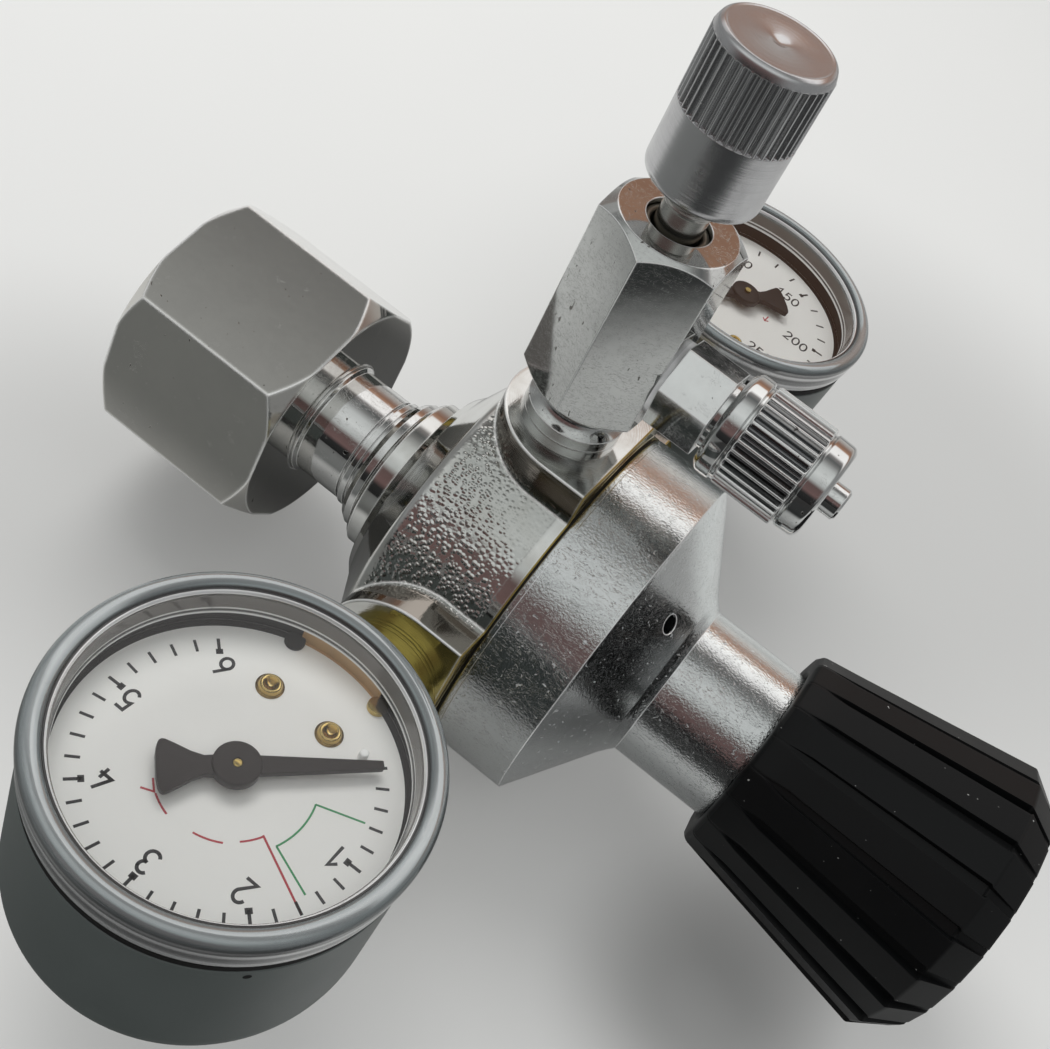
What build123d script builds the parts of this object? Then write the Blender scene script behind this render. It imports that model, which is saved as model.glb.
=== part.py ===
"""Pressure reducing valve for a gas cylinder, built as separate working pieces.

Frame: the origin is the centre of the inlet nut's mouth. +X runs along the main
axis from the cylinder connection to the adjusting knob, +Z points up along the
needle valve, and the two gauges stand out along -Y (low pressure) and +Y (high
pressure). All lengths are in millimetres.
"""
from build123d import *
import os
from math import atan2, cos, degrees, pi, radians, sin, sqrt

os.makedirs("parts", exist_ok=True)

# ---- clearances -------------------------------------------------------------
run_gap = 0.05          # radial play of a turning or sliding fit
free_gap = 0.3          # air between pieces that never touch
thread_gap = 0.05       # radial play of an adjusting thread

# ---- inlet: union nut, slip ring and stem ------------------------------------
nut_length = 25.2
nut_flats = 33.4
nut_thread_r = 9.9      # wall radius of the W21.8 thread
nut_thread_length = 12.0
nut_relief_r = 10.3     # clear of the thread behind it
nut_inside_depth = 18.2
nut_corner_bevel = 2.3  # both across and along
stem_r = 8.1
stem_guide_r = 8.6      # part of the stem that guides the nut
stem_guide_end = 26.0   # x where the guide ends
stem_flange_r = 9.6
stem_flange_t = 2.8
stem_nose = 0.8         # sealing face, proud of the flange
slip_ring_t = 1.0
stem_bore_r = 2.0
filter_r = 3.5
filter_length = 7.0
inlet_seal_t = 1.2
inlet_seal_r = 7.4
stem_collar_r = 10.0
stem_tail_r = 6.5
stem_tail_length = 6.0

# ---- body ---------------------------------------------------------------------
body_r = 24.5
body_start = 37.3       # x of the boss's back face
body_length = 25.5      # from there to the diaphragm face
boss_r = 11.5
boss_length = 2.8
shoulder_r = 16.0
shoulder_length = 4.7   # from the boss's back face
flare_length = 4.5      # from the shoulder to the full radius
cavity_r = 14.5         # low pressure chamber
cavity_depth = 8.8
pad_height = 2.5        # how far each port pad stands out of the round body
pad_half = 10.8
pad_run = 6.0           # straight part of each pad, back from the diaphragm face
port_r = 4.4            # wall radius of the port threads
port_depth = 8.0
passage_r = 1.0
chamber_r = 4.2         # high pressure chamber
chamber_length = 12.7   # from the boss's back face

# ---- diaphragm and seat ---------------------------------------------------------
diaphragm_inset = 0.3   # how far its edge lies inside the bonnet's
diaphragm_t = 0.6
plate_r = 11.0
plate_t = 1.6
stud_r = 2.0
pin_disc_r = 6.0
pin_disc_t = 1.2
pin_r = 0.7
nozzle_bore_r = 1.0
nozzle_flange_r = 6.0
nozzle_flange_t = 1.5
poppet_r = 3.2
poppet_head_t = 3.0
poppet_seal_r = 2.2
poppet_seal_t = 0.8
poppet_tail = 2.0
poppet_spring_r = 2.6
poppet_wire_r = 0.25
stud_nut_flats = 7.0
stud_nut_t = 2.0

# ---- bonnet, main spring and adjusting knob ----------------------------------------
bonnet_r = 24.5
bonnet_band = 10.8      # length of the bonnet's cylinder, up to the sharp rim
cone_length = 7.4
cone_end_r = 12.9
neck_r = 11.25
neck_length = 18.4
bonnet_bore_r = 9.6
bonnet_mouth_r = 16.0
bonnet_mouth_depth = 3.4
vent_r = 1.3
vent_angle = 24.0       # from the top towards the low pressure side
vent_share = 0.66       # place along the cone
vent_depth = 17.0
spindle_r = 5.0         # M10
bush_length = 8.0       # threaded end of the neck
spring_wire_r = 1.0
spring_mean_r = 6.8
spring_turns = 6
spring_length = 21.0
button_t = 3.0
button_guide = 3.0      # boss inside the spring
button_seat = 1.5       # depth of the spindle's seat in the button
nose_length = 2.0       # thin end of the spindle
nose_step = 1.0
knob_lap = 3.3          # how far the neck reaches into the knob
knob_length = 34.3
knob_start_r = 14.9
knob_crown = 4.6        # from the widest place to the end
knob_knee_r = 20.2
knob_end_r = 17.0
knob_ribs = 18
rib_depth = 1.4
knob_skirt_r = 11.8
knob_skirt_depth = 11.3
insert_r = 6.5
insert_room = 9.0       # from the insert to the knob's end
spindle_tail_r = 3.5
knob_cap_r = 12.0
knob_cap_t = 2.0
knob_screw_r = 1.5
knob_screw_length = 8.0
knob_screw_head_r = 4.5
knob_screw_head_t = 2.4

# ---- needle valve --------------------------------------------------------------
valve_setback = 8.4     # distance of the needle valve's axis behind the diaphragm face
valve_collar_r = 6.3
valve_collar_t = 1.5
valve_neck_r = 5.0
valve_neck_length = 3.1
valve_hex_length = 25.4
valve_flats = 15.2
valve_bevel = 1.4
valve_bore_r = 1.2
valve_seat_rise = 6.0   # heights above the hexagon's lower end
valve_chamber_r = 3.05
needle_r = 3.0          # M6
needle_shank_r = 2.0
needle_thread_rise = 16.4
needle_lift = 2.8       # how far the point stands off its seat
needle_taper = 0.6      # radius gained per length
gland_r = 3.9
gland_depth = 2.0
oring_r = 0.45
oring_rise = 13.4
valve_knob_r = 6.65
valve_knob_rise = 5.0   # knob's lower end above the hexagon's top
valve_knob_collar = 8.5 # from the knob's lower end to its knurl
valve_knob_knurl = 7.4
valve_knob_crown = 1.5
valve_knurls = 40
knurl_depth = 0.35
grub_r = 1.25

# ---- outlet ----------------------------------------------------------------------
outlet_rise = 8.3       # outlet's axis above the hexagon's lower end
outlet_tail_r = 2.6
outlet_tail_length = 3.6
outlet_hex_flats = 10.0
outlet_hex_turn = 12.0  # how far the hexagon has turned when tight
outlet_seal_t = 0.6
outlet_hex_length = 6.6
outlet_thread_r = 4.4
outlet_thread_length = 9.0
spigot_r = 2.0
spigot_bore_r = 1.0
spigot_show = 2.2       # how far the spigot stands out of the nut
hose_r = 3.1
outlet_nut_back = 0.7   # gap between the hexagon and the nut
outlet_nut_length = 14.3
outlet_nut_r = 6.6
outlet_collar_length = 2.9
outlet_knurl_length = 8.1
outlet_knurls = 32
clamp_ring_t = 1.2

# ---- gauges --------------------------------------------------------------------------
low_gauge_setback = 7.3  # distance of each stem behind the diaphragm face
high_gauge_setback = 7.4
low_gauge_turn = 0.0     # turn of each gauge about its stem when tight
high_gauge_turn = 3.1
low_gauge_stem = 32.6    # distance from the pad to each dial's centre
high_gauge_stem = 31.5
case_r = 19.5
case_wall = 1.4
case_back = -6.0
case_front = 16.8
case_back_round = 4.0
ring_over = 0.5         # how far the ring stands out past the case
ring_height = 5.3       # above the case's edge
ring_lip = 2.6          # width of the ring at its top
lens_sink = 1.7         # lens's underside below the ring's top
lens_t = 0.9
dial_gap = 0.5          # between the dial's edge and the case
dial_sink = 1.0         # face of the dial below the case's edge
dial_t = 0.8
window_depth = 1.8      # depth of the dial's cut-out
window_half = 19.0      # half-angle of the cut-out
dial_screw_x = 3.9
dial_screw_y = -9.4
dial_screw_r = 1.4
dial_screw_t = 0.7
dial_shank_r = 0.6
dial_shank_length = 1.5
pillar_r = 1.2
movement_r = 6.0        # round end of the movement plate
movement_lap = 3.0      # how far the plate covers the block
socket_flats = 12.0
socket_flange_r = 7.2
socket_flange_t = 1.6
gauge_seal_t = 0.5
shank_r = 4.0
block_width = 10.0
block_depth = 5.7
plate_drop = 6.2        # underside of the movement plate below the dial's face
plate_thick = 1.2
lug_thick = 1.1         # lug at the block's outer edge, up to just under the dial
tube_room = 3.2         # from the case's wall to the middle of the tube
tube_thick = 1.8
tube_wall = 0.4
tube_height = 6.5
tube_z = 2.2
tube_arc = 245.0
pinion_r = 0.9
gear_ratio = 9.0
sector_air = 0.6        # between the movement plate and the sector
sector_t = 1.0
sector_sweep = 30.0
arbor_r = 0.5
pointer_air = 1.2       # between the dial and the pointer
pointer_t = 0.6
pointer_short = 3.1     # how far the tip stays inside the dial's edge
pointer_tail = 7.3
pointer_hub_r = 2.4
pointer_tip = 0.7       # widths of the pointer
pointer_root = 1.8
pointer_neck = 3.2      # distance from the hub where the tail begins to flare
tail_width = 5.2
zero_angle = 225.0      # direction of zero on a dial, from its right

# ---- values worked out from the sizes above ----------------------------------------------
body_end = body_start + body_length
shoulder_x = body_start + shoulder_length
body_rim_x = shoulder_x + flare_length
pad_reach = body_r + pad_height
pad_round_x = body_end - pad_run
chamber_end = body_start + chamber_length
stem_flange_end = nut_inside_depth - slip_ring_t
stem_flange_start = stem_flange_end - stem_flange_t
stem_face = stem_flange_start - stem_nose
stem_tail_end = body_start + stem_tail_length
cavity_floor = body_end - cavity_depth
bonnet_face = body_end + diaphragm_t
diaphragm_r = bonnet_r - diaphragm_inset
plate_end = bonnet_face + plate_t
button_x = plate_end + spring_length
bonnet_rim_x = bonnet_face + bonnet_band
cone_end_x = bonnet_rim_x + cone_length
neck_end_x = cone_end_x + neck_length
knob_start_x = neck_end_x - knob_lap
knob_end_x = knob_start_x + knob_length
knob_knee_x = knob_end_x - knob_crown
insert_length = knob_length - knob_skirt_depth - insert_room
bonnet_hole_end = neck_end_x - bush_length
rib_pitch = 360.0 / knob_ribs
button_r = bonnet_bore_r - free_gap
pivot_y = -(pinion_r + pinion_r * gear_ratio + 0.1)
hex_to_corner = 2 / sqrt(3)
block_start = -sqrt((case_r - case_wall - free_gap) ** 2 - (block_width / 2) ** 2)
block_end = block_start + block_depth
valve_x = body_end - valve_setback
valve_hex_bottom = pad_reach + valve_collar_t + valve_neck_length
valve_hex_top = valve_hex_bottom + valve_hex_length
valve_seat_z = valve_hex_bottom + valve_seat_rise
needle_thread_z = valve_hex_bottom + needle_thread_rise
oring_z = valve_hex_bottom + oring_rise
valve_knob_bottom = valve_hex_top + valve_knob_rise
valve_knob_grip = valve_knob_bottom + valve_knob_collar
valve_knob_grip_end = valve_knob_grip + valve_knob_knurl
valve_knob_top = valve_knob_grip_end + valve_knob_crown
outlet_z = valve_hex_bottom + outlet_rise
outlet_hex_end = valve_x + valve_flats / 2 + outlet_seal_t + outlet_hex_length
outlet_nut_start = outlet_hex_end + outlet_nut_back
outlet_nut_end = outlet_nut_start + outlet_nut_length
outlet_collar_end = outlet_nut_start + outlet_collar_length
outlet_knurl_end = outlet_collar_end + outlet_knurl_length
spigot_end_x = outlet_nut_end + spigot_show
low_gauge_x = body_end - low_gauge_setback
high_gauge_x = body_end - high_gauge_setback
low_gauge_reach = pad_reach + low_gauge_stem
high_gauge_reach = pad_reach + high_gauge_stem
ring_r = case_r + ring_over
ring_sight_r = ring_r - ring_lip
ring_top = case_front + ring_height
lens_z = ring_top - lens_sink
dial_r = case_r - case_wall - dial_gap
dial_z = case_front - dial_sink
window_r = dial_r - window_depth
plate_z = dial_z - plate_drop
sector_z = plate_z + plate_thick + sector_air
tube_mean_r = case_r - case_wall - tube_room
pointer_z = dial_z + pointer_air
pointer_reach = dial_r - pointer_short


def write(node, label):
    """Label one finished piece and write it as its own file."""
    node.part.label = label
    export_step(node.part, f"parts/{label}.step")


def tilted(x, reach, side, turn):
    """Plane of a gauge: origin under the dial's centre, z out of the dial, y away from the body."""
    swing = radians(turn)
    return Plane(
        origin=(x, side * reach, 0),
        x_dir=(side * cos(swing), 0, -side * sin(swing)),
        z_dir=(sin(swing), 0, cos(swing)),
    )


def spoke(frame, angle):
    """Plane through a gauge's dial axis: x points out at this angle, y runs along the axis."""
    turn = radians(angle)
    outward = frame.x_dir * cos(turn) + frame.y_dir * sin(turn)
    return Plane(origin=frame.origin, x_dir=outward, z_dir=outward.cross(frame.z_dir))


def dial_axis(frame):
    """Axis out of the middle of a gauge's dial."""
    return Axis(frame.origin, frame.z_dir)


def across(frame, y):
    """Plane square to a gauge's stem at height y: x across the dial, y along the dial axis."""
    return Plane(origin=frame.from_local_coords(Vector(0, y, 0)), x_dir=frame.x_dir, z_dir=-frame.y_dir)


# ---- inlet -------------------------------------------------------------------------------
def make_inlet_nut():
    corner = nut_flats / 2 * hex_to_corner
    with BuildPart() as inlet_nut:
        with BuildSketch(Plane.YZ):
            RegularPolygon(radius=corner, side_count=6, rotation=21.2)
        extrude(amount=nut_length)
        with BuildSketch(Plane.XY):
            with BuildLine():
                Polyline(
                    (0, 0),
                    (0, corner - nut_corner_bevel),
                    (nut_corner_bevel + 0.2, corner + 0.2),
                    (nut_length - nut_corner_bevel - 0.2, corner + 0.2),
                    (nut_length, corner - nut_corner_bevel),
                    (nut_length, 0),
                    close=True,
                )
            make_face()
        revolve(axis=Axis.X, mode=Mode.INTERSECT)
        with BuildSketch(Plane.YZ):
            Circle(nut_thread_r)
        extrude(amount=nut_inside_depth, mode=Mode.SUBTRACT)
        with BuildSketch(Plane.YZ.offset(nut_thread_length)):
            Circle(nut_relief_r)
        extrude(amount=nut_inside_depth - nut_thread_length, mode=Mode.SUBTRACT)
        with BuildSketch(Plane.YZ):
            Circle(stem_guide_r + run_gap)
        extrude(amount=nut_length, mode=Mode.SUBTRACT)
    write(inlet_nut, "inlet_nut")


def make_slip_ring():
    with BuildPart() as slip_ring:
        with BuildSketch(Plane.YZ.offset(stem_flange_end)):
            Circle(stem_flange_r)
            Circle(stem_guide_r + run_gap, mode=Mode.SUBTRACT)
        extrude(amount=slip_ring_t)
    write(slip_ring, "inlet_slip_ring")


def make_inlet_stem():
    with BuildPart() as inlet_stem:
        with BuildSketch(Plane.XY):
            with BuildLine():
                Polyline(
                    (stem_face, 0),
                    (stem_face, stem_flange_r - 1.6),
                    (stem_flange_start, stem_flange_r - 0.8),
                    (stem_flange_start, stem_flange_r),
                    (stem_flange_end, stem_flange_r),
                    (stem_flange_end, stem_guide_r),
                    (stem_guide_end - 0.4, stem_guide_r),
                    (stem_guide_end, stem_r),
                    (body_start - 4.5, stem_r),
                    (body_start - 4.5, stem_r - 0.5),
                    (body_start - 3.9, stem_r - 0.5),
                    (body_start - 3.9, stem_r + 0.3),
                    (body_start - 3.1, stem_r + 0.3),
                    (body_start - 3.1, stem_r - 0.3),
                    (body_start - 2.6, stem_r - 0.3),
                    (body_start - 2.2, stem_collar_r - 0.6),
                    (body_start - 1.4, stem_collar_r),
                    (body_start - 0.5, stem_collar_r),
                    (body_start, stem_collar_r - 0.5),
                    (body_start, stem_tail_r),
                    (stem_tail_end, stem_tail_r),
                    (stem_tail_end, 0),
                    close=True,
                )
            make_face()
        revolve(axis=Axis.X)
        with BuildSketch(Plane.YZ.offset(stem_face)):
            Circle(filter_r)
        extrude(amount=filter_length + 1.0, mode=Mode.SUBTRACT)
        with BuildSketch(Plane.YZ.offset(stem_face)):
            Circle(stem_bore_r)
        extrude(amount=stem_tail_end - stem_face, mode=Mode.SUBTRACT)
    write(inlet_stem, "inlet_stem")


def make_inlet_seal():
    with BuildPart() as inlet_seal:
        with BuildSketch(Plane.YZ.offset(stem_face - inlet_seal_t)):
            Circle(inlet_seal_r)
            Circle(filter_r, mode=Mode.SUBTRACT)
        extrude(amount=inlet_seal_t)
    write(inlet_seal, "inlet_seal")


def make_inlet_filter():
    with BuildPart() as inlet_filter:
        with BuildSketch(Plane.YZ.offset(stem_face + 1.0)):
            Circle(filter_r)
        extrude(amount=filter_length)
        with BuildSketch(Plane.YZ.offset(stem_face + 3.0)):
            Circle(filter_r - 1.2)
        extrude(amount=filter_length - 2.0, mode=Mode.SUBTRACT)
    write(inlet_filter, "inlet_filter")


# ---- body -----------------------------------------------------------------------------
def pad_plane(direction):
    """Plane of a port pad's face, with its x along the main axis."""
    return Plane(origin=(0, 0, 0), x_dir=(1, 0, 0), z_dir=direction)


def make_body():
    pads = {"up": (0, 0, 1), "low": (0, -1, 0), "high": (0, 1, 0)}
    port_x = {"up": valve_x, "low": low_gauge_x, "high": high_gauge_x}
    with BuildPart() as body:
        with BuildSketch(Plane.XY):
            with BuildLine():
                Polyline(
                    (body_start, 0),
                    (body_start, boss_r - 0.5),
                    (body_start + 0.5, boss_r),
                    (body_start + boss_length, boss_r),
                    (shoulder_x - 1.2, shoulder_r - 1.4),
                    (shoulder_x, shoulder_r),
                    (body_rim_x, body_r),
                    (body_end, body_r),
                    (body_end, 0),
                    close=True,
                )
            make_face()
        revolve(axis=Axis.X)
        rim = body.edges().filter_by(GeomType.CIRCLE).group_by(SortBy.RADIUS)[-1].sort_by(Axis.X)[0]
        fillet(rim, 1.6)
        for direction in pads.values():
            with BuildSketch(pad_plane(direction).offset(cavity_r + 1.0)):
                with BuildLine():
                    Line((body_end, -pad_half), (pad_round_x, -pad_half))
                    ThreePointArc(
                        (pad_round_x, -pad_half), (pad_round_x - pad_half, 0), (pad_round_x, pad_half)
                    )
                    Line((pad_round_x, pad_half), (body_end, pad_half))
                    Line((body_end, pad_half), (body_end, -pad_half))
                make_face()
            extrude(amount=pad_reach - cavity_r - 1.0)
        for name, direction in pads.items():
            face = pad_plane(direction)
            with BuildSketch(face.offset(pad_reach)):
                with Locations((port_x[name], 0)):
                    Circle(port_r)
            extrude(amount=-port_depth, mode=Mode.SUBTRACT)
        for direction in (pads["up"], pads["low"]):
            with BuildSketch(pad_plane(direction).offset(cavity_r - 1.5)):
                with Locations((cavity_floor + passage_r + 0.5, 0)):
                    Circle(passage_r)
            extrude(amount=pad_reach - port_depth - cavity_r + 1.6, mode=Mode.SUBTRACT)
        start = Vector(high_gauge_x - 2.0, pad_reach - port_depth + 0.2, 0)
        finish = Vector(chamber_end - 4.5, chamber_r - 0.6, 0)
        with BuildSketch(Plane(origin=start, z_dir=finish - start)):
            Circle(passage_r)
        extrude(amount=(finish - start).length, mode=Mode.SUBTRACT)
        with BuildSketch(Plane.YZ.offset(cavity_floor)):
            Circle(cavity_r)
        extrude(amount=cavity_depth, mode=Mode.SUBTRACT)
        with BuildSketch(Plane.YZ.offset(body_start)):
            Circle(stem_tail_r)
        extrude(amount=stem_tail_length, mode=Mode.SUBTRACT)
        with BuildSketch(Plane.YZ.offset(stem_tail_end)):
            Circle(chamber_r)
        extrude(amount=cavity_floor - stem_tail_end, mode=Mode.SUBTRACT)
    write(body, "body")


def make_nozzle():
    with BuildPart() as seat_nozzle:
        with BuildSketch(Plane.XY):
            with BuildLine():
                Polyline(
                    (chamber_end + 0.5, 0),
                    (chamber_end + 0.5, nozzle_bore_r + 0.1),
                    (chamber_end, nozzle_bore_r + 0.4),
                    (chamber_end, nozzle_bore_r + 0.7),
                    (chamber_end + 0.8, nozzle_bore_r + 1.2),
                    (chamber_end + 0.8, chamber_r),
                    (cavity_floor, chamber_r),
                    (cavity_floor, nozzle_flange_r),
                    (cavity_floor + nozzle_flange_t, nozzle_flange_r),
                    (cavity_floor + nozzle_flange_t, 0),
                    close=True,
                )
            make_face()
        revolve(axis=Axis.X)
        with BuildSketch(Plane.YZ.offset(chamber_end)):
            Circle(nozzle_bore_r)
        extrude(amount=cavity_floor + nozzle_flange_t - chamber_end, mode=Mode.SUBTRACT)
    write(seat_nozzle, "seat_nozzle")


def make_poppet():
    head_start = chamber_end - poppet_head_t
    with BuildPart() as poppet:
        with BuildSketch(Plane.YZ.offset(head_start)):
            Circle(poppet_r)
        extrude(amount=poppet_head_t)
        with BuildSketch(Plane.YZ.offset(chamber_end - poppet_seal_t)):
            Circle(poppet_seal_r)
        extrude(amount=poppet_seal_t, mode=Mode.SUBTRACT)
        with BuildSketch(Plane.YZ.offset(head_start - poppet_tail)):
            Circle(poppet_r * 0.4)
        extrude(amount=poppet_tail)
    write(poppet, "poppet")
    with BuildPart() as poppet_seal:
        with BuildSketch(Plane.YZ.offset(chamber_end - poppet_seal_t)):
            Circle(poppet_seal_r)
        extrude(amount=poppet_seal_t)
    write(poppet_seal, "poppet_seal")


def make_coil(label, start, end, mean_r, wire_r, turns):
    """A coil spring along the main axis, between two faces."""
    length = end - start - 2 * wire_r
    with BuildPart() as coil:
        with BuildLine():
            path = Helix(
                pitch=length / turns,
                height=length,
                radius=mean_r,
                center=(start + wire_r, 0, 0),
                direction=(1, 0, 0),
            )
        with BuildSketch(Plane(origin=path @ 0, z_dir=path % 0)):
            Circle(wire_r)
        sweep(is_frenet=True)
    write(coil, label)


# ---- diaphragm group ----------------------------------------------------------------
def make_diaphragm():
    with BuildPart() as diaphragm:
        with BuildSketch(Plane.YZ.offset(body_end)):
            Circle(diaphragm_r)
            Circle(stud_r, mode=Mode.SUBTRACT)
        extrude(amount=diaphragm_t)
    write(diaphragm, "diaphragm")


def make_diaphragm_plate():
    with BuildPart() as diaphragm_plate:
        with BuildSketch(Plane.YZ.offset(bonnet_face)):
            Circle(plate_r)
            Circle(stud_r, mode=Mode.SUBTRACT)
        extrude(amount=plate_t)
        rims = diaphragm_plate.edges().filter_by(GeomType.CIRCLE).group_by(SortBy.RADIUS)[-1]
        fillet(rims, 0.4)
    write(diaphragm_plate, "diaphragm_plate")


def make_push_pin():
    with BuildPart() as push_pin:
        with BuildSketch(Plane.YZ.offset(body_end - pin_disc_t)):
            Circle(pin_disc_r)
        extrude(amount=pin_disc_t)
        with BuildSketch(Plane.YZ.offset(body_end)):
            Circle(stud_r)
        extrude(amount=plate_end + stud_nut_t + 0.6 - body_end)
        with BuildSketch(Plane.YZ.offset(chamber_end)):
            Circle(pin_r)
        extrude(amount=body_end - pin_disc_t - chamber_end)
    write(push_pin, "push_pin")


def make_stud_nut():
    with BuildPart() as diaphragm_nut:
        with BuildSketch(Plane.YZ.offset(plate_end)):
            RegularPolygon(radius=stud_nut_flats / 2 * hex_to_corner, side_count=6)
            Circle(stud_r, mode=Mode.SUBTRACT)
        extrude(amount=stud_nut_t)
    write(diaphragm_nut, "diaphragm_nut")


# ---- bonnet and adjuster --------------------------------------------------------------
def make_bonnet():
    with BuildPart() as bonnet:
        with BuildSketch(Plane.XY):
            with BuildLine():
                Polyline(
                    (bonnet_face, 0),
                    (bonnet_face, bonnet_r - 0.4),
                    (bonnet_face + 0.4, bonnet_r),
                    (bonnet_rim_x, bonnet_r),
                    (cone_end_x, cone_end_r),
                    (cone_end_x + 1.4, neck_r),
                    (neck_end_x, neck_r),
                    (neck_end_x, 0),
                    close=True,
                )
            make_face()
        revolve(axis=Axis.X)
        with BuildSketch(Plane.YZ.offset(bonnet_face)):
            Circle(bonnet_mouth_r)
        extrude(amount=bonnet_mouth_depth, mode=Mode.SUBTRACT)
        with BuildSketch(Plane.YZ.offset(bonnet_face)):
            Circle(bonnet_bore_r)
        extrude(amount=bonnet_hole_end - bonnet_face, mode=Mode.SUBTRACT)
        with BuildSketch(Plane.YZ.offset(bonnet_hole_end)):
            Circle(spindle_r + thread_gap)
        extrude(amount=bush_length, mode=Mode.SUBTRACT)
        aside = radians(vent_angle)
        up = Vector(0, -sin(aside), cos(aside))
        run = cone_end_x - bonnet_rim_x
        drop = bonnet_r - cone_end_r
        normal = (Vector(drop, 0, 0) + up * run).normalized()
        mouth = Vector(bonnet_rim_x + run * vent_share, 0, 0) + up * (bonnet_r - drop * vent_share)
        with BuildSketch(Plane(origin=mouth + normal, z_dir=normal)):
            Circle(vent_r)
        extrude(amount=-vent_depth, mode=Mode.SUBTRACT)
    write(bonnet, "bonnet")


def make_spring_button():
    with BuildPart() as spring_button:
        with BuildSketch(Plane.YZ.offset(button_x)):
            Circle(button_r)
        extrude(amount=button_t)
        with BuildSketch(Plane.YZ.offset(button_x - button_guide)):
            Circle(spring_mean_r - spring_wire_r - free_gap)
        extrude(amount=button_guide)
        with BuildSketch(Plane.YZ.offset(button_x + button_t - button_seat)):
            Circle(spindle_r - nose_step + run_gap)
        extrude(amount=button_seat, mode=Mode.SUBTRACT)
    write(spring_button, "spring_button")


def make_spindle():
    tip = button_x + button_t - button_seat
    knob_seat = knob_start_x + knob_skirt_depth
    with BuildPart() as adjusting_spindle:
        with BuildSketch(Plane.XY):
            with BuildLine():
                Polyline(
                    (tip, 0),
                    (tip, spindle_r - nose_step),
                    (tip + nose_length, spindle_r - nose_step),
                    (tip + nose_length + nose_step, spindle_r),
                    (knob_seat, spindle_r),
                    (knob_seat, spindle_tail_r),
                    (knob_seat + insert_length, spindle_tail_r),
                    (knob_seat + insert_length, 0),
                    close=True,
                )
            make_face()
        revolve(axis=Axis.X)
        with BuildSketch(Plane.YZ.offset(knob_seat + insert_length)):
            Circle(knob_screw_r)
        extrude(amount=-knob_screw_length, mode=Mode.SUBTRACT)
    write(adjusting_spindle, "adjusting_spindle")


def make_knob():
    knob_seat = knob_start_x + knob_skirt_depth
    insert_end = knob_seat + insert_length
    with BuildPart() as adjusting_knob:
        with BuildSketch(Plane.XY):
            with BuildLine():
                Polyline(
                    (knob_start_x, 0),
                    (knob_start_x, knob_start_r - 0.6),
                    (knob_start_x + 0.6, knob_start_r),
                    (knob_knee_x, knob_knee_r),
                    (knob_end_x, knob_end_r),
                    (knob_end_x, 0),
                    close=True,
                )
            make_face()
        revolve(axis=Axis.X)
        for index in range(knob_ribs):
            add(rib_groove().rotate(Axis.X, index * rib_pitch), mode=Mode.SUBTRACT)
        with BuildSketch(Plane.YZ.offset(knob_start_x)):
            Circle(knob_skirt_r)
        extrude(amount=knob_skirt_depth, mode=Mode.SUBTRACT)
        with BuildSketch(Plane.YZ.offset(knob_seat)):
            Circle(insert_r)
        extrude(amount=insert_length, mode=Mode.SUBTRACT)
        with BuildSketch(Plane.YZ.offset(insert_end)):
            Circle(knob_screw_head_r + 1.0)
        extrude(amount=knob_end_x - insert_end, mode=Mode.SUBTRACT)
        with BuildSketch(Plane.YZ.offset(knob_end_x - knob_cap_t)):
            Circle(knob_cap_r)
        extrude(amount=knob_cap_t, mode=Mode.SUBTRACT)
    write(adjusting_knob, "adjusting_knob")


def groove_points(radius, depth):
    """Outline of one groove and the slope beside it, cut in from a circle of this radius."""
    width = radians(rib_pitch) * radius
    return [
        (radius + 1.5, -width * 0.44),
        (radius, -width * 0.44),
        (radius - depth * 0.4, width * 0.40),
        (radius - depth, width * 0.42),
        (radius - depth, width * 0.54),
        (radius + 1.5, width * 0.56),
    ]


def rib_groove():
    """One groove of the knob, shallow at the small end and deep at the crown."""
    grow = (knob_knee_r - knob_start_r) / (knob_knee_x - knob_start_x)
    first = knob_start_x + 1.0
    last = knob_end_x + 1.0
    with BuildPart() as groove:
        with BuildSketch(Plane.YZ.offset(first)):
            Polygon(*groove_points(knob_start_r + grow, rib_depth * 0.3), align=None)
        with BuildSketch(Plane.YZ.offset(last)):
            Polygon(*groove_points(knob_knee_r + grow * (last - knob_knee_x), rib_depth * 1.1), align=None)
        loft()
    return groove.part


def make_knob_hardware():
    knob_seat = knob_start_x + knob_skirt_depth
    insert_end = knob_seat + insert_length
    with BuildPart() as knob_insert:
        with BuildSketch(Plane.YZ.offset(knob_seat)):
            Circle(insert_r)
            Circle(spindle_tail_r, mode=Mode.SUBTRACT)
        extrude(amount=insert_length)
    write(knob_insert, "knob_insert")
    with BuildPart() as knob_screw:
        with BuildSketch(Plane.YZ.offset(insert_end - knob_screw_length)):
            Circle(knob_screw_r)
        extrude(amount=knob_screw_length)
        with BuildSketch(Plane.YZ.offset(insert_end)):
            Circle(knob_screw_head_r)
        extrude(amount=knob_screw_head_t)
        with BuildSketch(Plane.YZ.offset(insert_end + knob_screw_head_t)):
            RegularPolygon(radius=knob_screw_r, side_count=6)
        extrude(amount=-knob_screw_head_t / 2, mode=Mode.SUBTRACT)
    write(knob_screw, "knob_screw")
    with BuildPart() as knob_cap:
        with BuildSketch(Plane.YZ.offset(knob_end_x - knob_cap_t)):
            Circle(knob_cap_r)
        extrude(amount=knob_cap_t)
        outer = knob_cap.edges().filter_by(GeomType.CIRCLE).sort_by(Axis.X)[-1]
        fillet(outer, 0.5)
    write(knob_cap, "knob_cap")


# ---- needle valve ----------------------------------------------------------------------
def valve_plane(z):
    """Level plane on the needle valve's axis."""
    return Plane(origin=(valve_x, 0, z), x_dir=(1, 0, 0), z_dir=(0, 0, 1))


valve_side = Plane(origin=(valve_x, 0, 0), x_dir=(1, 0, 0), z_dir=(0, -1, 0))
valve_axis = Axis((valve_x, 0, 0), (0, 0, 1))


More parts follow.
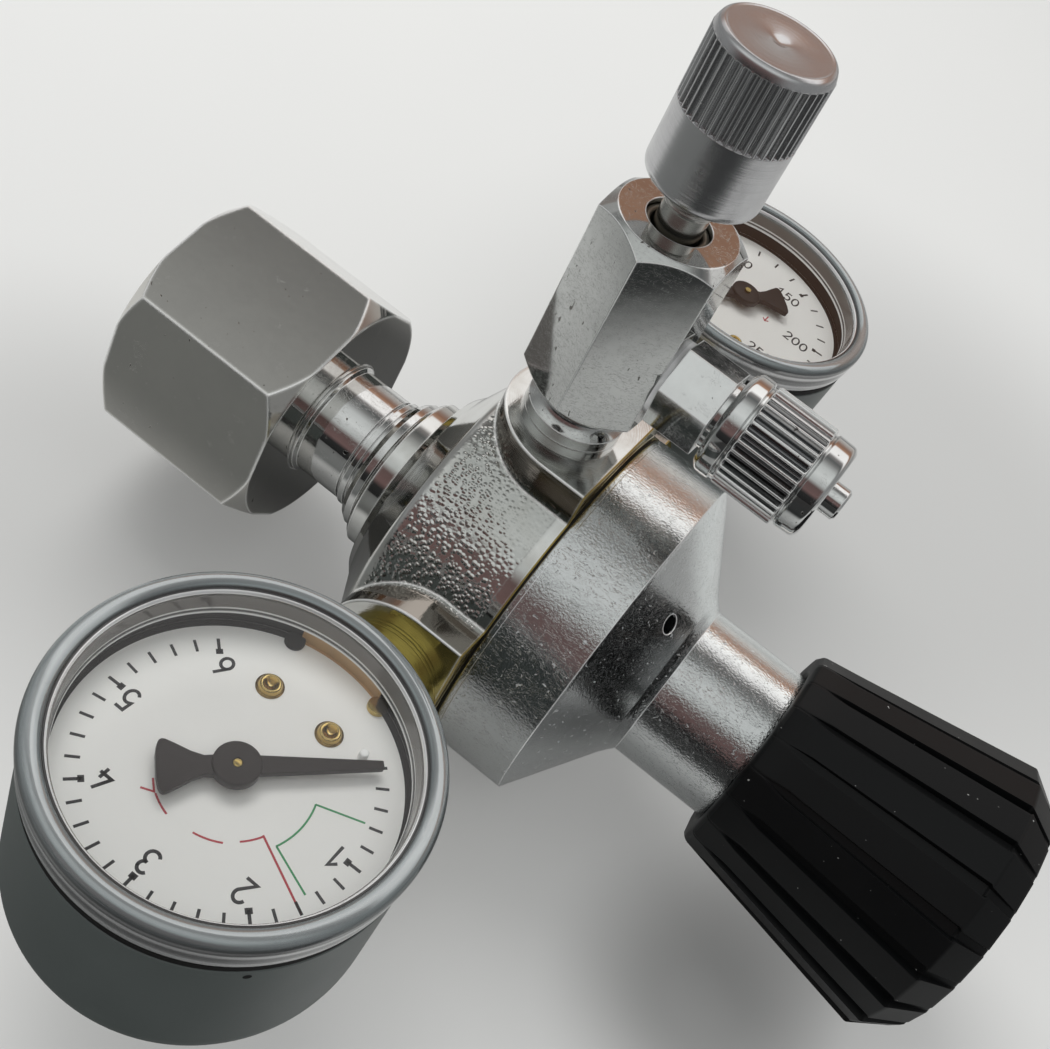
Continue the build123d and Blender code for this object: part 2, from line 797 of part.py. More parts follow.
def make_valve_body():
    corner = valve_flats / 2 * hex_to_corner
    with BuildPart() as valve_body:
        with BuildSketch(valve_plane(valve_hex_bottom)):
            RegularPolygon(radius=corner, side_count=6, rotation=30)
        extrude(amount=valve_hex_top - valve_hex_bottom)
        with BuildSketch(valve_side):
            with BuildLine():
                Polyline(
                    (0, valve_hex_bottom),
                    (corner - 2.3, valve_hex_bottom),
                    (corner + 0.1, valve_hex_bottom + 1.8),
                    (corner + 0.1, valve_hex_top - valve_bevel),
                    (corner - 1.7, valve_hex_top),
                    (0, valve_hex_top),
                    close=True,
                )
            make_face()
        revolve(axis=valve_axis, mode=Mode.INTERSECT)
        with BuildSketch(valve_side):
            with BuildLine():
                top = valve_hex_bottom
                Line((0, pad_reach - port_depth), (port_r, pad_reach - port_depth))
                Line((port_r, pad_reach - port_depth), (port_r, pad_reach))
                Line((port_r, pad_reach), (valve_collar_r, pad_reach))
                Line((valve_collar_r, pad_reach), (valve_collar_r, pad_reach + valve_collar_t))
                Spline((valve_collar_r, pad_reach + valve_collar_t),
                       (valve_neck_r, (pad_reach + valve_collar_t + top) / 2 + 0.2),
                       (corner - 2.4, top + 0.1))
                Line((corner - 2.4, top + 0.1), (0, top + 0.1))
                Line((0, top + 0.1), (0, pad_reach - port_depth))
            make_face()
        revolve(axis=valve_axis)
        with BuildSketch(valve_plane(pad_reach - port_depth)):
            Circle(valve_bore_r)
        extrude(amount=valve_seat_z - pad_reach + port_depth, mode=Mode.SUBTRACT)
        with BuildSketch(valve_plane(valve_seat_z)):
            Circle(valve_chamber_r)
        extrude(amount=valve_hex_top - valve_seat_z, mode=Mode.SUBTRACT)
        with BuildSketch(valve_plane(valve_hex_top)):
            Circle(gland_r)
        extrude(amount=-gland_depth, mode=Mode.SUBTRACT)
        with BuildSketch(Plane.YZ.offset(valve_x + valve_flats / 2)):
            with Locations((0, outlet_z)):
                Circle(outlet_tail_r)
        extrude(amount=-outlet_tail_length, mode=Mode.SUBTRACT)
        with BuildSketch(Plane.YZ.offset(valve_x + valve_flats / 2)):
            with Locations((0, outlet_z)):
                Circle(spigot_bore_r)
        extrude(amount=-valve_flats / 2, mode=Mode.SUBTRACT)
    write(valve_body, "valve_body")


def make_needle():
    tip = valve_seat_z + needle_lift
    groove = oring_r + run_gap
    collar = groove + 1.0
    collar_r = valve_chamber_r - run_gap
    seat_r = valve_bore_r - run_gap
    with BuildPart() as needle:
        with BuildSketch(valve_side):
            with BuildLine():
                Polyline(
                    (0, tip - seat_r / needle_taper),
                    (needle_shank_r, tip + (needle_shank_r - seat_r) / needle_taper),
                    (needle_shank_r, oring_z - collar),
                    (collar_r, oring_z - collar),
                    (collar_r, oring_z - groove),
                    (needle_shank_r, oring_z - groove),
                    (needle_shank_r, oring_z + groove),
                    (collar_r, oring_z + groove),
                    (collar_r, oring_z + collar),
                    (needle_shank_r, oring_z + collar),
                    (needle_shank_r, needle_thread_z),
                    (needle_r, needle_thread_z + 1.0),
                    (needle_r, valve_knob_grip),
                    (0, valve_knob_grip),
                    close=True,
                )
            make_face()
        revolve(axis=valve_axis)
    write(needle, "needle")
    with BuildPart() as needle_oring:
        with BuildSketch(valve_side):
            with Locations((needle_shank_r + run_gap + oring_r, oring_z)):
                Circle(oring_r)
        revolve(axis=valve_axis)
    write(needle_oring, "needle_oring")


def make_valve_knob():
    with BuildPart() as valve_knob:
        with BuildSketch(valve_side):
            with BuildLine():
                Polyline(
                    (0, valve_knob_bottom),
                    (valve_knob_r - 1.2, valve_knob_bottom),
                    (valve_knob_r - 0.3, valve_knob_bottom + 0.5),
                    (valve_knob_r, valve_knob_bottom + 1.4),
                    (valve_knob_r, valve_knob_grip_end),
                    (valve_knob_r - 0.9, valve_knob_top),
                    (0, valve_knob_top),
                    close=True,
                )
            make_face()
        revolve(axis=valve_axis)
        with BuildSketch(valve_plane(valve_knob_grip)):
            with PolarLocations(valve_knob_r, valve_knurls):
                Rectangle(2 * knurl_depth, 2 * knurl_depth, rotation=45)
        extrude(amount=valve_knob_top - valve_knob_grip, mode=Mode.SUBTRACT)
        with BuildSketch(valve_plane(valve_knob_bottom)):
            Circle(needle_r)
        extrude(amount=valve_knob_grip - valve_knob_bottom, mode=Mode.SUBTRACT)
        with BuildSketch(Plane.XZ.offset(-valve_knob_r)):
            with Locations((valve_x, valve_knob_bottom + 5.0)):
                Circle(grub_r)
        extrude(amount=valve_knob_r - needle_r, mode=Mode.SUBTRACT)
    write(valve_knob, "valve_knob")
    with BuildPart() as valve_set_screw:
        with BuildSketch(Plane.XZ.offset(-needle_r)):
            with Locations((valve_x, valve_knob_bottom + 5.0)):
                Circle(grub_r)
        extrude(amount=-3.2)
    write(valve_set_screw, "valve_set_screw")


# ---- outlet ------------------------------------------------------------------------------
outlet_axis = Axis((0, 0, outlet_z), (1, 0, 0))
outlet_side = Plane(origin=(0, 0, outlet_z), x_dir=(1, 0, 0), z_dir=(0, -1, 0))


def outlet_plane(x):
    """Plane square to the outlet's axis."""
    return Plane(origin=(x, 0, outlet_z), x_dir=(0, 1, 0), z_dir=(1, 0, 0))


def make_outlet_fitting():
    face = valve_x + valve_flats / 2
    hex_start = face + outlet_seal_t
    hex_end = hex_start + outlet_hex_length
    thread_end = hex_end + outlet_thread_length
    with BuildPart() as outlet_fitting:
        with BuildSketch(outlet_plane(hex_start)):
            RegularPolygon(
                radius=outlet_hex_flats / 2 * hex_to_corner, side_count=6, rotation=outlet_hex_turn - 30
            )
        extrude(amount=outlet_hex_length)
        with BuildSketch(outlet_side):
            with BuildLine():
                Polyline(
                    (face - outlet_tail_length, 0),
                    (face - outlet_tail_length, outlet_tail_r),
                    (hex_start + 0.2, outlet_tail_r),
                    (hex_start + 0.2, outlet_tail_r + 1.0),
                    (hex_end - 0.2, outlet_tail_r + 1.0),
                    (hex_end - 0.2, outlet_thread_r),
                    (thread_end - 0.5, outlet_thread_r),
                    (thread_end, outlet_thread_r - 0.5),
                    (thread_end, spigot_r),
                    (spigot_end_x - 0.3, spigot_r),
                    (spigot_end_x, spigot_r - 0.3),
                    (spigot_end_x, 0),
                    close=True,
                )
            make_face()
        revolve(axis=outlet_axis)
        with BuildSketch(outlet_plane(face - outlet_tail_length)):
            Circle(spigot_bore_r)
        extrude(amount=spigot_end_x - face + outlet_tail_length, mode=Mode.SUBTRACT)
    write(outlet_fitting, "outlet_fitting")
    with BuildPart() as outlet_seal:
        with BuildSketch(outlet_plane(face)):
            Circle(outlet_hex_flats / 2 - 0.2)
            Circle(outlet_tail_r, mode=Mode.SUBTRACT)
        extrude(amount=outlet_seal_t)
    write(outlet_seal, "outlet_seal")


def make_outlet_nut():
    thread_end = valve_x + valve_flats / 2 + outlet_seal_t + outlet_hex_length + outlet_thread_length
    ring_start = thread_end + free_gap
    ring_end = ring_start + clamp_ring_t
    with BuildPart() as outlet_nut:
        with BuildSketch(outlet_side):
            with BuildLine():
                Polyline(
                    (outlet_nut_start, 0),
                    (outlet_nut_start, outlet_nut_r - 1.0),
                    (outlet_nut_start + 0.8, outlet_nut_r),
                    (outlet_collar_end - 0.3, outlet_nut_r),
                    (outlet_collar_end, outlet_nut_r - 0.35),
                    (outlet_collar_end + 0.3, outlet_nut_r),
                    (outlet_knurl_end - 0.3, outlet_nut_r),
                    (outlet_knurl_end, outlet_nut_r - 0.5),
                    (outlet_knurl_end + 0.3, outlet_nut_r - 0.4),
                    (outlet_nut_end - 0.6, outlet_nut_r - 0.4),
                    (outlet_nut_end, outlet_nut_r - 1.0),
                    (outlet_nut_end, 0),
                    close=True,
                )
            make_face()
        revolve(axis=outlet_axis)
        with BuildSketch(outlet_plane(outlet_collar_end)):
            with PolarLocations(outlet_nut_r, outlet_knurls):
                Rectangle(2 * knurl_depth, 2 * knurl_depth, rotation=45)
        extrude(amount=outlet_knurl_end - outlet_collar_end, mode=Mode.SUBTRACT)
        with BuildSketch(outlet_plane(outlet_nut_start)):
            Circle(outlet_thread_r + thread_gap)
        extrude(amount=ring_end - outlet_nut_start, mode=Mode.SUBTRACT)
        with BuildSketch(outlet_plane(ring_end)):
            Circle(hose_r)
        extrude(amount=outlet_nut_end - ring_end, mode=Mode.SUBTRACT)
    write(outlet_nut, "outlet_nut")
    with BuildPart() as outlet_clamp_ring:
        with BuildSketch(outlet_plane(ring_start)):
            Circle(outlet_thread_r)
            Circle(hose_r, mode=Mode.SUBTRACT)
        extrude(amount=clamp_ring_t)
    write(outlet_clamp_ring, "outlet_clamp_ring")


# ---- gauges ------------------------------------------------------------------------------
def make_socket(frame, prefix, reach):
    """Brass stem of a gauge, with the block that carries the tube and the movement."""
    pad = pad_reach - reach
    flange = pad + gauge_seal_t
    hexagon = flange + socket_flange_t
    wall = -case_r - 0.4
    with BuildPart() as socket:
        with BuildSketch(across(frame, pad - port_depth)):
            Circle(port_r)
        extrude(amount=-(port_depth + gauge_seal_t))
        with BuildSketch(across(frame, flange)):
            Circle(socket_flange_r)
        extrude(amount=-socket_flange_t)
        with BuildSketch(across(frame, hexagon)):
            RegularPolygon(radius=socket_flats / 2 * hex_to_corner, side_count=6)
        extrude(amount=-(wall - hexagon))
        with BuildSketch(across(frame, wall)):
            Circle(shank_r)
        extrude(amount=-(block_start + 0.5 - wall))
        with BuildSketch(frame.offset(case_back + case_back_round)):
            with Locations((0, (block_start + block_end) / 2)):
                Rectangle(block_width, block_depth)
        extrude(amount=plate_z - case_back - case_back_round)
        with BuildSketch(spoke(frame, 0)):
            with Locations((tube_mean_r, tube_z + tube_height / 2)):
                Rectangle(tube_thick, tube_height)
        revolve(axis=dial_axis(frame), mode=Mode.SUBTRACT)
        with BuildSketch(frame.offset(plate_z)):
            with Locations((0, block_start + lug_thick / 2)):
                Rectangle(block_width, lug_thick)
        extrude(amount=dial_z - dial_t - free_gap - plate_z)
        with BuildSketch(across(frame, pad - port_depth)):
            Circle(passage_r)
        extrude(amount=-(block_end - pad + port_depth - 1.0), mode=Mode.SUBTRACT)
        with BuildSketch(frame):
            with Locations((0, -tube_mean_r)):
                Circle(tube_thick * 0.3)
        extrude(amount=tube_z, mode=Mode.SUBTRACT)
    write(socket, f"{prefix}_socket")
    with BuildPart() as seal:
        with BuildSketch(across(frame, pad)):
            Circle(socket_flange_r)
            Circle(port_r, mode=Mode.SUBTRACT)
        extrude(amount=-gauge_seal_t)
    write(seal, f"{prefix}_gauge_seal")


def make_tube(frame, prefix):
    """Curved pressure tube, open at the block and closed at its free end."""
    start = -90.0 + degrees(tube_thick / tube_mean_r) / 2
    middle = tube_z + tube_height / 2
    with BuildPart() as bourdon_tube:
        with BuildSketch(spoke(frame, start)):
            with Locations((tube_mean_r, middle)):
                Rectangle(tube_thick, tube_height)
        revolve(axis=dial_axis(frame), revolution_arc=tube_arc)
        with BuildSketch(spoke(frame, start)):
            with Locations((tube_mean_r, middle)):
                Rectangle(tube_thick - 2 * tube_wall, tube_height - 2 * tube_wall)
        revolve(axis=dial_axis(frame), revolution_arc=tube_arc - 3.0, mode=Mode.SUBTRACT)
    write(bourdon_tube, f"{prefix}_bourdon_tube")


def make_case(frame, prefix):
    """Cup of one wall thickness with a rounded back, open towards the dial."""
    centre_r = case_r - case_back_round
    centre_z = case_back + case_back_round
    inner_round = case_back_round - case_wall
    slant = cos(radians(45))
    with BuildPart() as case:
        with BuildSketch(spoke(frame, 0)):
            with BuildLine():
                Line((0, case_back), (centre_r, case_back))
                ThreePointArc(
                    (centre_r, case_back),
                    (centre_r + case_back_round * slant, centre_z - case_back_round * slant),
                    (case_r, centre_z),
                )
                Line((case_r, centre_z), (case_r, case_front))
                Line((case_r, case_front), (case_r - case_wall, case_front))
                Line((case_r - case_wall, case_front), (case_r - case_wall, centre_z))
                ThreePointArc(
                    (case_r - case_wall, centre_z),
                    (centre_r + inner_round * slant, centre_z - inner_round * slant),
                    (centre_r, case_back + case_wall),
                )
                Line((centre_r, case_back + case_wall), (0, case_back + case_wall))
                Line((0, case_back + case_wall), (0, case_back))
            make_face()
        revolve(axis=dial_axis(frame))
        with BuildSketch(across(frame, -case_r - 1.0)):
            Circle(shank_r)
        extrude(amount=-case_wall - 3.0, mode=Mode.SUBTRACT)
    write(case, f"{prefix}_case")


def make_lens_ring(frame, prefix):
    """Clear snap-on window, one piece with its rim."""
    with BuildPart() as lens_ring:
        with BuildSketch(spoke(frame, 0)):
            with BuildLine():
                Polyline(
                    (0, lens_z),
                    (ring_sight_r - 0.4, lens_z),
                    (ring_sight_r - 0.1, dial_z),
                    (dial_r + 0.3, dial_z),
                    (dial_r + 0.3, case_front),
                    (case_r - 0.2, case_front),
                    (case_r + 0.1, case_front + 0.6),
                    (ring_r, ring_top - 1.2),
                    (ring_r - 0.2, ring_top - 0.3),
                    (ring_r - 0.7, ring_top),
                    (ring_sight_r + 0.9, ring_top),
                    (ring_sight_r + 0.2, ring_top - 0.3),
                    (ring_sight_r, lens_z + lens_t),
                    (0, lens_z + lens_t),
                    close=True,
                )
            make_face()
        revolve(axis=dial_axis(frame))
    write(lens_ring, f"{prefix}_lens_ring")


def make_dial(frame, prefix):
    with BuildPart() as dial:
        with BuildSketch(frame.offset(dial_z)):
            Circle(dial_r)
            Circle(arbor_r + free_gap, mode=Mode.SUBTRACT)
            with BuildLine():
                left = radians(-90 - window_half)
                right = radians(-90 + window_half)
                inner_left = (window_r * cos(left), window_r * sin(left))
                inner_right = (window_r * cos(right), window_r * sin(right))
                outer_left = (inner_left[0] * 1.3, inner_left[1] * 1.3)
                outer_right = (inner_right[0] * 1.3, inner_right[1] * 1.3)
                ThreePointArc(inner_left, (0, -window_r), inner_right)
                Polyline(inner_right, outer_right, outer_left, inner_left)
            make_face(mode=Mode.SUBTRACT)
            with Locations((dial_screw_x, dial_screw_y), (-dial_screw_x, dial_screw_y)):
                Circle(dial_shank_r, mode=Mode.SUBTRACT)
        extrude(amount=-dial_t)
    write(dial, f"{prefix}_dial")
    with BuildPart() as dial_screws:
        with BuildSketch(frame.offset(dial_z)):
            with Locations((dial_screw_x, dial_screw_y), (-dial_screw_x, dial_screw_y)):
                Circle(dial_screw_r)
        extrude(amount=dial_screw_t)
        with BuildSketch(frame.offset(dial_z)):
            with Locations((dial_screw_x, dial_screw_y), (-dial_screw_x, dial_screw_y)):
                Circle(dial_shank_r)
        extrude(amount=-dial_t - dial_shank_length)
    write(dial_screws, f"{prefix}_dial_screws")


def make_movement(frame, prefix):
    """Plate that carries the gear arbors and the two dial pillars."""
    with BuildPart() as movement:
        with BuildSketch(frame.offset(plate_z)):
            Circle(movement_r)
            with Locations((0, (block_end - movement_lap) / 2)):
                Rectangle(block_width, movement_lap - block_end)
        extrude(amount=plate_thick)
        with BuildSketch(frame.offset(plate_z + plate_thick)):
            with Locations((dial_screw_x, dial_screw_y), (-dial_screw_x, dial_screw_y)):
                Circle(pillar_r)
        extrude(amount=dial_z - dial_t - plate_z - plate_thick)
        with BuildSketch(frame.offset(dial_z - dial_t)):
            with Locations((dial_screw_x, dial_screw_y), (-dial_screw_x, dial_screw_y)):
                Circle(dial_shank_r)
        extrude(amount=-dial_shank_length, mode=Mode.SUBTRACT)
        with BuildSketch(frame.offset(plate_z)):
            Circle(arbor_r + run_gap)
            with Locations((0, pivot_y)):
                Circle(arbor_r + run_gap)
        extrude(amount=plate_thick, mode=Mode.SUBTRACT)
    write(movement, f"{prefix}_movement")


def make_sector(frame, prefix):
    """Sector gear on its own arbor; its arc drives the pinion."""
    reach = pinion_r * gear_ratio
    with BuildPart() as sector:
        with BuildSketch(frame.offset(sector_z)):
            with BuildLine():
                first = radians(90 - sector_sweep - 4.0)
                last = radians(94.0)
                middle = (first + last) / 2
                hub = 1.3
                Line((0, pivot_y), (reach * cos(first), pivot_y + reach * sin(first)))
                ThreePointArc(
                    (reach * cos(first), pivot_y + reach * sin(first)),
                    (reach * cos(middle), pivot_y + reach * sin(middle)),
                    (reach * cos(last), pivot_y + reach * sin(last)),
                )
                Line((reach * cos(last), pivot_y + reach * sin(last)), (0, pivot_y))
            make_face()
            with Locations((0, pivot_y)):
                Circle(hub)
        extrude(amount=sector_t)
        with BuildSketch(frame.offset(plate_z)):
            with Locations((0, pivot_y)):
                Circle(arbor_r)
        extrude(amount=sector_z + sector_t + 0.6 - plate_z)
    write(sector, f"{prefix}_sector")


def make_pointer(frame, prefix):
    """Pointer with its counterweight tail, on the pinion's arbor."""
    zero = radians(zero_angle)
    along = Vector(cos(zero), sin(zero))
    aside = Vector(-sin(zero), cos(zero))
    sides = []
    for side in (1, -1):
        sides.append(
            [
                along * pointer_reach + aside * side * pointer_tip / 2,
                along * pointer_hub_r * 0.6 + aside * side * pointer_root / 2,
                along * -pointer_neck + aside * side * pointer_root * 0.45,
                along * -pointer_tail * 0.95 + aside * side * tail_width / 2,
            ]
        )
    outline = sides[0] + [along * -pointer_tail] + sides[1][::-1]
    with BuildPart() as pointer:
        with BuildSketch(frame.offset(pointer_z)):
            with BuildLine():
                Polyline(*[(point.X, point.Y) for point in outline], close=True)
            make_face()
            Circle(pointer_hub_r)
            Circle(arbor_r, mode=Mode.SUBTRACT)
        extrude(amount=pointer_t)
    write(pointer, f"{prefix}_pointer")
    with BuildPart() as pinion:
        with BuildSketch(frame.offset(sector_z - 0.2)):
            Circle(pinion_r)
        extrude(amount=sector_t + 0.4)
        with BuildSketch(frame.offset(plate_z)):
            Circle(arbor_r)
        extrude(amount=pointer_z + pointer_t + 0.8 - plate_z)
    write(pinion, f"{prefix}_pinion")


def make_gauge(prefix, x, reach, side, turn):
    frame = tilted(x, reach, side, turn)
    make_socket(frame, prefix, reach)
    make_tube(frame, prefix)
    make_case(frame, prefix)
    make_lens_ring(frame, prefix)
    make_dial(frame, prefix)
    make_movement(frame, prefix)
    make_sector(frame, prefix)
    make_pointer(frame, prefix)


make_inlet_nut()
make_slip_ring()
make_inlet_stem()
make_inlet_seal()
make_inlet_filter()
make_body()
make_nozzle()
make_poppet()
make_coil("poppet_spring", stem_tail_end, chamber_end - poppet_head_t, poppet_spring_r, poppet_wire_r, 4)
make_diaphragm()
make_diaphragm_plate()
make_push_pin()
make_stud_nut()
make_coil("main_spring", plate_end, button_x, spring_mean_r, spring_wire_r, spring_turns)
make_bonnet()
make_spring_button()
make_spindle()
make_knob()
make_knob_hardware()
make_valve_body()
make_needle()
make_valve_knob()
make_outlet_fitting()
make_outlet_nut()
make_gauge("low", low_gauge_x, low_gauge_reach, -1, low_gauge_turn)
make_gauge("high", high_gauge_x, high_gauge_reach, 1, high_gauge_turn)
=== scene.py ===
"""Looks of a gas cylinder's pressure reducing valve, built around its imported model.

Shapes are worked out in millimetres in the local frame of the piece that they
belong to, and a place matrix carries them into the model's frame in metres.
"""
import math

import bmesh
import bpy
from mathutils import Matrix, Vector


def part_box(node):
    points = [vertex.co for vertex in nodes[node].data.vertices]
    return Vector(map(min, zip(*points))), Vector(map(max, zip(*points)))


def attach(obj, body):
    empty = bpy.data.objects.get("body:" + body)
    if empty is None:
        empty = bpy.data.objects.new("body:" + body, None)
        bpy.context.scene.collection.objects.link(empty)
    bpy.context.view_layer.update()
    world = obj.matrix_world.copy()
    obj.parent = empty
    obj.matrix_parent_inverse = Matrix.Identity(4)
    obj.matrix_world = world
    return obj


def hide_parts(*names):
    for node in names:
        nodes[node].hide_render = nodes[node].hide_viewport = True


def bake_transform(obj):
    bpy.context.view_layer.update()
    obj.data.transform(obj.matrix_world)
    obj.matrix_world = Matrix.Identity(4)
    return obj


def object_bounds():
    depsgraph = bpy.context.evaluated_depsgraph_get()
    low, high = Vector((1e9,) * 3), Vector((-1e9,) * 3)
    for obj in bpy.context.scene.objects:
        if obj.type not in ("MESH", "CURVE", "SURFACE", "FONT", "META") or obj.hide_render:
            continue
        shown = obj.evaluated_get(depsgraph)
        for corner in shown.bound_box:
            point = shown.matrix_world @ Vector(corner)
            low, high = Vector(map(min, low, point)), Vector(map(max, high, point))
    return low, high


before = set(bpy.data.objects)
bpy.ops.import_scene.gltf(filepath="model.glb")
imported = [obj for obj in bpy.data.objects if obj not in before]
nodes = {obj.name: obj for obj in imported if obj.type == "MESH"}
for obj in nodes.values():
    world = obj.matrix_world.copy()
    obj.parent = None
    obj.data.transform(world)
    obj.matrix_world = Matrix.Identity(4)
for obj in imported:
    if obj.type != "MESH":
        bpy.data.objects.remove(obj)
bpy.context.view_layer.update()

MM = 0.001


# ---- places ------------------------------------------------------------------------------
def place(origin, along, across):
    """Matrix of a local frame: z runs along, x across, lengths in millimetres."""
    z = Vector(along).normalized()
    x = Vector(across)
    x = (x - z * x.dot(z)).normalized()
    y = z.cross(x)
    turn = Matrix((x, y, z)).transposed().to_4x4()
    return Matrix.Translation(Vector(origin) * MM) @ turn @ Matrix.Scale(MM, 4)


def middle(node):
    """Centre of a CAD node's box, in millimetres."""
    low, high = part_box(node)
    return (low + high) / 2 / MM


valve_x = middle("valve_knob").x
outlet_z = middle("outlet_nut").z
dial_top = 15.8  # face of each dial, along its gauge's axis
dial_thick = 0.8
low_stem = middle("low_lens_ring")
low_lift = 0.5  # the low pressure gauge stands a little proud of its solids
high_stem = middle("high_dial")
high_stem.y = middle("high_lens_ring").y
high_lean = math.radians(3.1)  # the high pressure gauge leans towards the knob
high_up = Vector((math.sin(high_lean), 0, math.cos(high_lean)))
high_origin = high_stem - high_up * (dial_top - dial_thick / 2)
rim_bore, rim_outer = 17.3, 20.0  # radii of the clear ring

main_axis = place((0, 0, 0), (1, 0, 0), (0, 1, 0))
valve_axis = place((valve_x, 0, 0), (0, 0, 1), (1, 0, 0))
outlet_axis = place((0, 0, outlet_z), (1, 0, 0), (0, 1, 0))
gauges = {
    "low": place((low_stem.x, low_stem.y, low_lift), (0, 0, 1), (-1, 0, 0)),
    "high": place(high_origin, high_up, (high_up.z, 0, -high_up.x)),
}


# ---- shaders -----------------------------------------------------------------------------
class Wire:
    """A shader socket that takes part in Python arithmetic."""

    def __init__(self, net, socket):
        self.net, self.socket = net, socket

    def sum(self, operation, first, second=0.0):
        return self.net.node("ShaderNodeMath", {"operation": operation}, {0: first, 1: second})

    def __add__(self, other):
        return self.sum("ADD", self, other)

    def __sub__(self, other):
        return self.sum("SUBTRACT", self, other)

    def __rsub__(self, other):
        return self.sum("SUBTRACT", other, self)

    def __mul__(self, other):
        return self.sum("MULTIPLY", self, other)

    def __truediv__(self, other):
        return self.sum("DIVIDE", self, other)

    def __rtruediv__(self, other):
        return self.sum("DIVIDE", other, self)

    def __pow__(self, other):
        return self.sum("POWER", self, other)

    def __gt__(self, other):
        return self.sum("GREATER_THAN", self, other)

    def __abs__(self):
        return self.sum("ABSOLUTE", self)

    __radd__ = __add__
    __rmul__ = __mul__


class Net:
    """A node tree whose nodes are all made by one method."""

    def __init__(self, tree):
        self.tree = tree

    def node(self, kind, settings=None, sockets=None, out=0):
        made = self.tree.nodes.new(kind)
        for name, value in (settings or {}).items():
            if name == "stops":
                self.set_stops(made.color_ramp, value)
            else:
                setattr(made, name, value)
        for name, value in (sockets or {}).items():
            self.feed(made.inputs[name], value)
        return Wire(self, made.outputs[out])

    def feed(self, socket, value):
        if isinstance(value, Wire):
            self.tree.links.new(value.socket, socket)
        else:
            socket.default_value = value

    @staticmethod
    def set_stops(ramp, stops):
        while len(ramp.elements) < len(stops):
            ramp.elements.new(0.5)
        for element, (position, colour) in zip(ramp.elements, stops):
            element.position = position
            element.color = rgb(*colour) if isinstance(colour, tuple) else grey(colour)

    def spot(self):
        """Where the surface is, in millimetres in the model's frame."""
        at = self.node("ShaderNodeTexCoord", out="Object")
        return self.node("ShaderNodeVectorMath", {"operation": "SCALE"}, {0: at, "Scale": 1 / MM})

    def parts(self, vector):
        made = self.node("ShaderNodeSeparateXYZ", {}, {0: vector})
        outputs = made.socket.node.outputs
        return [Wire(self, outputs[index]) for index in range(3)]

    def joined(self, x, y, z):
        return self.node("ShaderNodeCombineXYZ", {}, {0: x, 1: y, 2: z})

    def noise(self, vector, scale, detail=2.0, roughness=0.5, distortion=0.0):
        sockets = {"Vector": vector, "Scale": scale, "Detail": detail}
        sockets.update({"Roughness": roughness, "Distortion": distortion})
        return self.node("ShaderNodeTexNoise", {}, sockets)

    def ramp(self, value, *stops):
        return self.node("ShaderNodeValToRGB", {"stops": stops}, {0: value})

    def step(self, value, start, end, low=0.0, high=1.0):
        """Smooth change from low to high as value runs from start to end."""
        settings = {"interpolation_type": "SMOOTHSTEP"}
        sockets = {0: value, 1: start, 2: end, 3: low, 4: high}
        return self.node("ShaderNodeMapRange", settings, sockets)

    def blend(self, share, first, second):
        settings = {"data_type": "RGBA"}
        return self.node("ShaderNodeMix", settings, {0: share, 6: first, 7: second}, out=2)

    def away(self, u, v):
        """Distance from the axis where u and v are both zero."""
        return (u * u + v * v) ** 0.5

    def rays(self, kind):
        """1 for one kind of light ray, 0 for the others."""
        return self.node("ShaderNodeLightPath", out=f"Is {kind} Ray")


class Finish(Net):
    """One material, on a Principled shader."""

    rim = None  # mask of the rounded edges, once relief() has found them; the finishes paint a highlight there

    def __init__(self, name, **constants):
        self.material = bpy.data.materials.new(name)
        self.material.use_nodes = True
        super().__init__(self.material.node_tree)
        self.shader = next(n for n in self.tree.nodes if n.type == "BSDF_PRINCIPLED")
        for socket, value in constants.items():
            self.shader.inputs[socket.replace("_", " ")].default_value = value

    def put(self, socket, value):
        self.feed(self.shader.inputs[socket], value)

    def solid(self):
        """The Principled shader's surface, for mixing with another."""
        return Wire(self, self.shader.outputs[0])

    def show(self, surface):
        """Make another shader the material's surface."""
        output = next(n for n in self.tree.nodes if n.type == "OUTPUT_MATERIAL")
        self.tree.links.new(surface.socket, output.inputs["Surface"])

    def relief(self, height, edge=0.0):
        """Bump from a height in millimetres, with the piece's edges rounded by edge."""
        sockets = {"Height": height, "Distance": MM, "Strength": 1.0}
        if edge:
            soft = self.node("ShaderNodeBevel", {"samples": 8}, {"Radius": edge * MM})
            facing = self.node("ShaderNodeNewGeometry", out="Normal")
            dot = {"operation": "DOT_PRODUCT"}
            same = self.node("ShaderNodeVectorMath", dot, {0: soft, 1: facing}, out="Value")
            self.rim = self.step(same, 0.998, 0.93)
            sockets["Normal"] = soft
        self.put("Normal", self.node("ShaderNodeBump", {}, sockets))


def rgb(*levels):
    return (*levels, 1.0)


def grey(level):
    return rgb(level, level, level)


def scratches(net, spot, lengths, density, thin=0.5):
    """Fine scratches as a 0 to 1 mask: noise drawn out by different lengths along x, y and z."""
    drawn = net.node("ShaderNodeVectorMath", {"operation": "MULTIPLY"}, {0: spot, 1: lengths})
    lines = net.noise(drawn, 1.0, 3.0, 0.6, 1.5)
    crest = abs(lines - 0.5)
    patch = net.noise(spot, 0.35, 2.0)
    return net.step(crest, 0.012 * thin, 0.0) * net.step(patch, 0.75 - density, 0.8 - density)


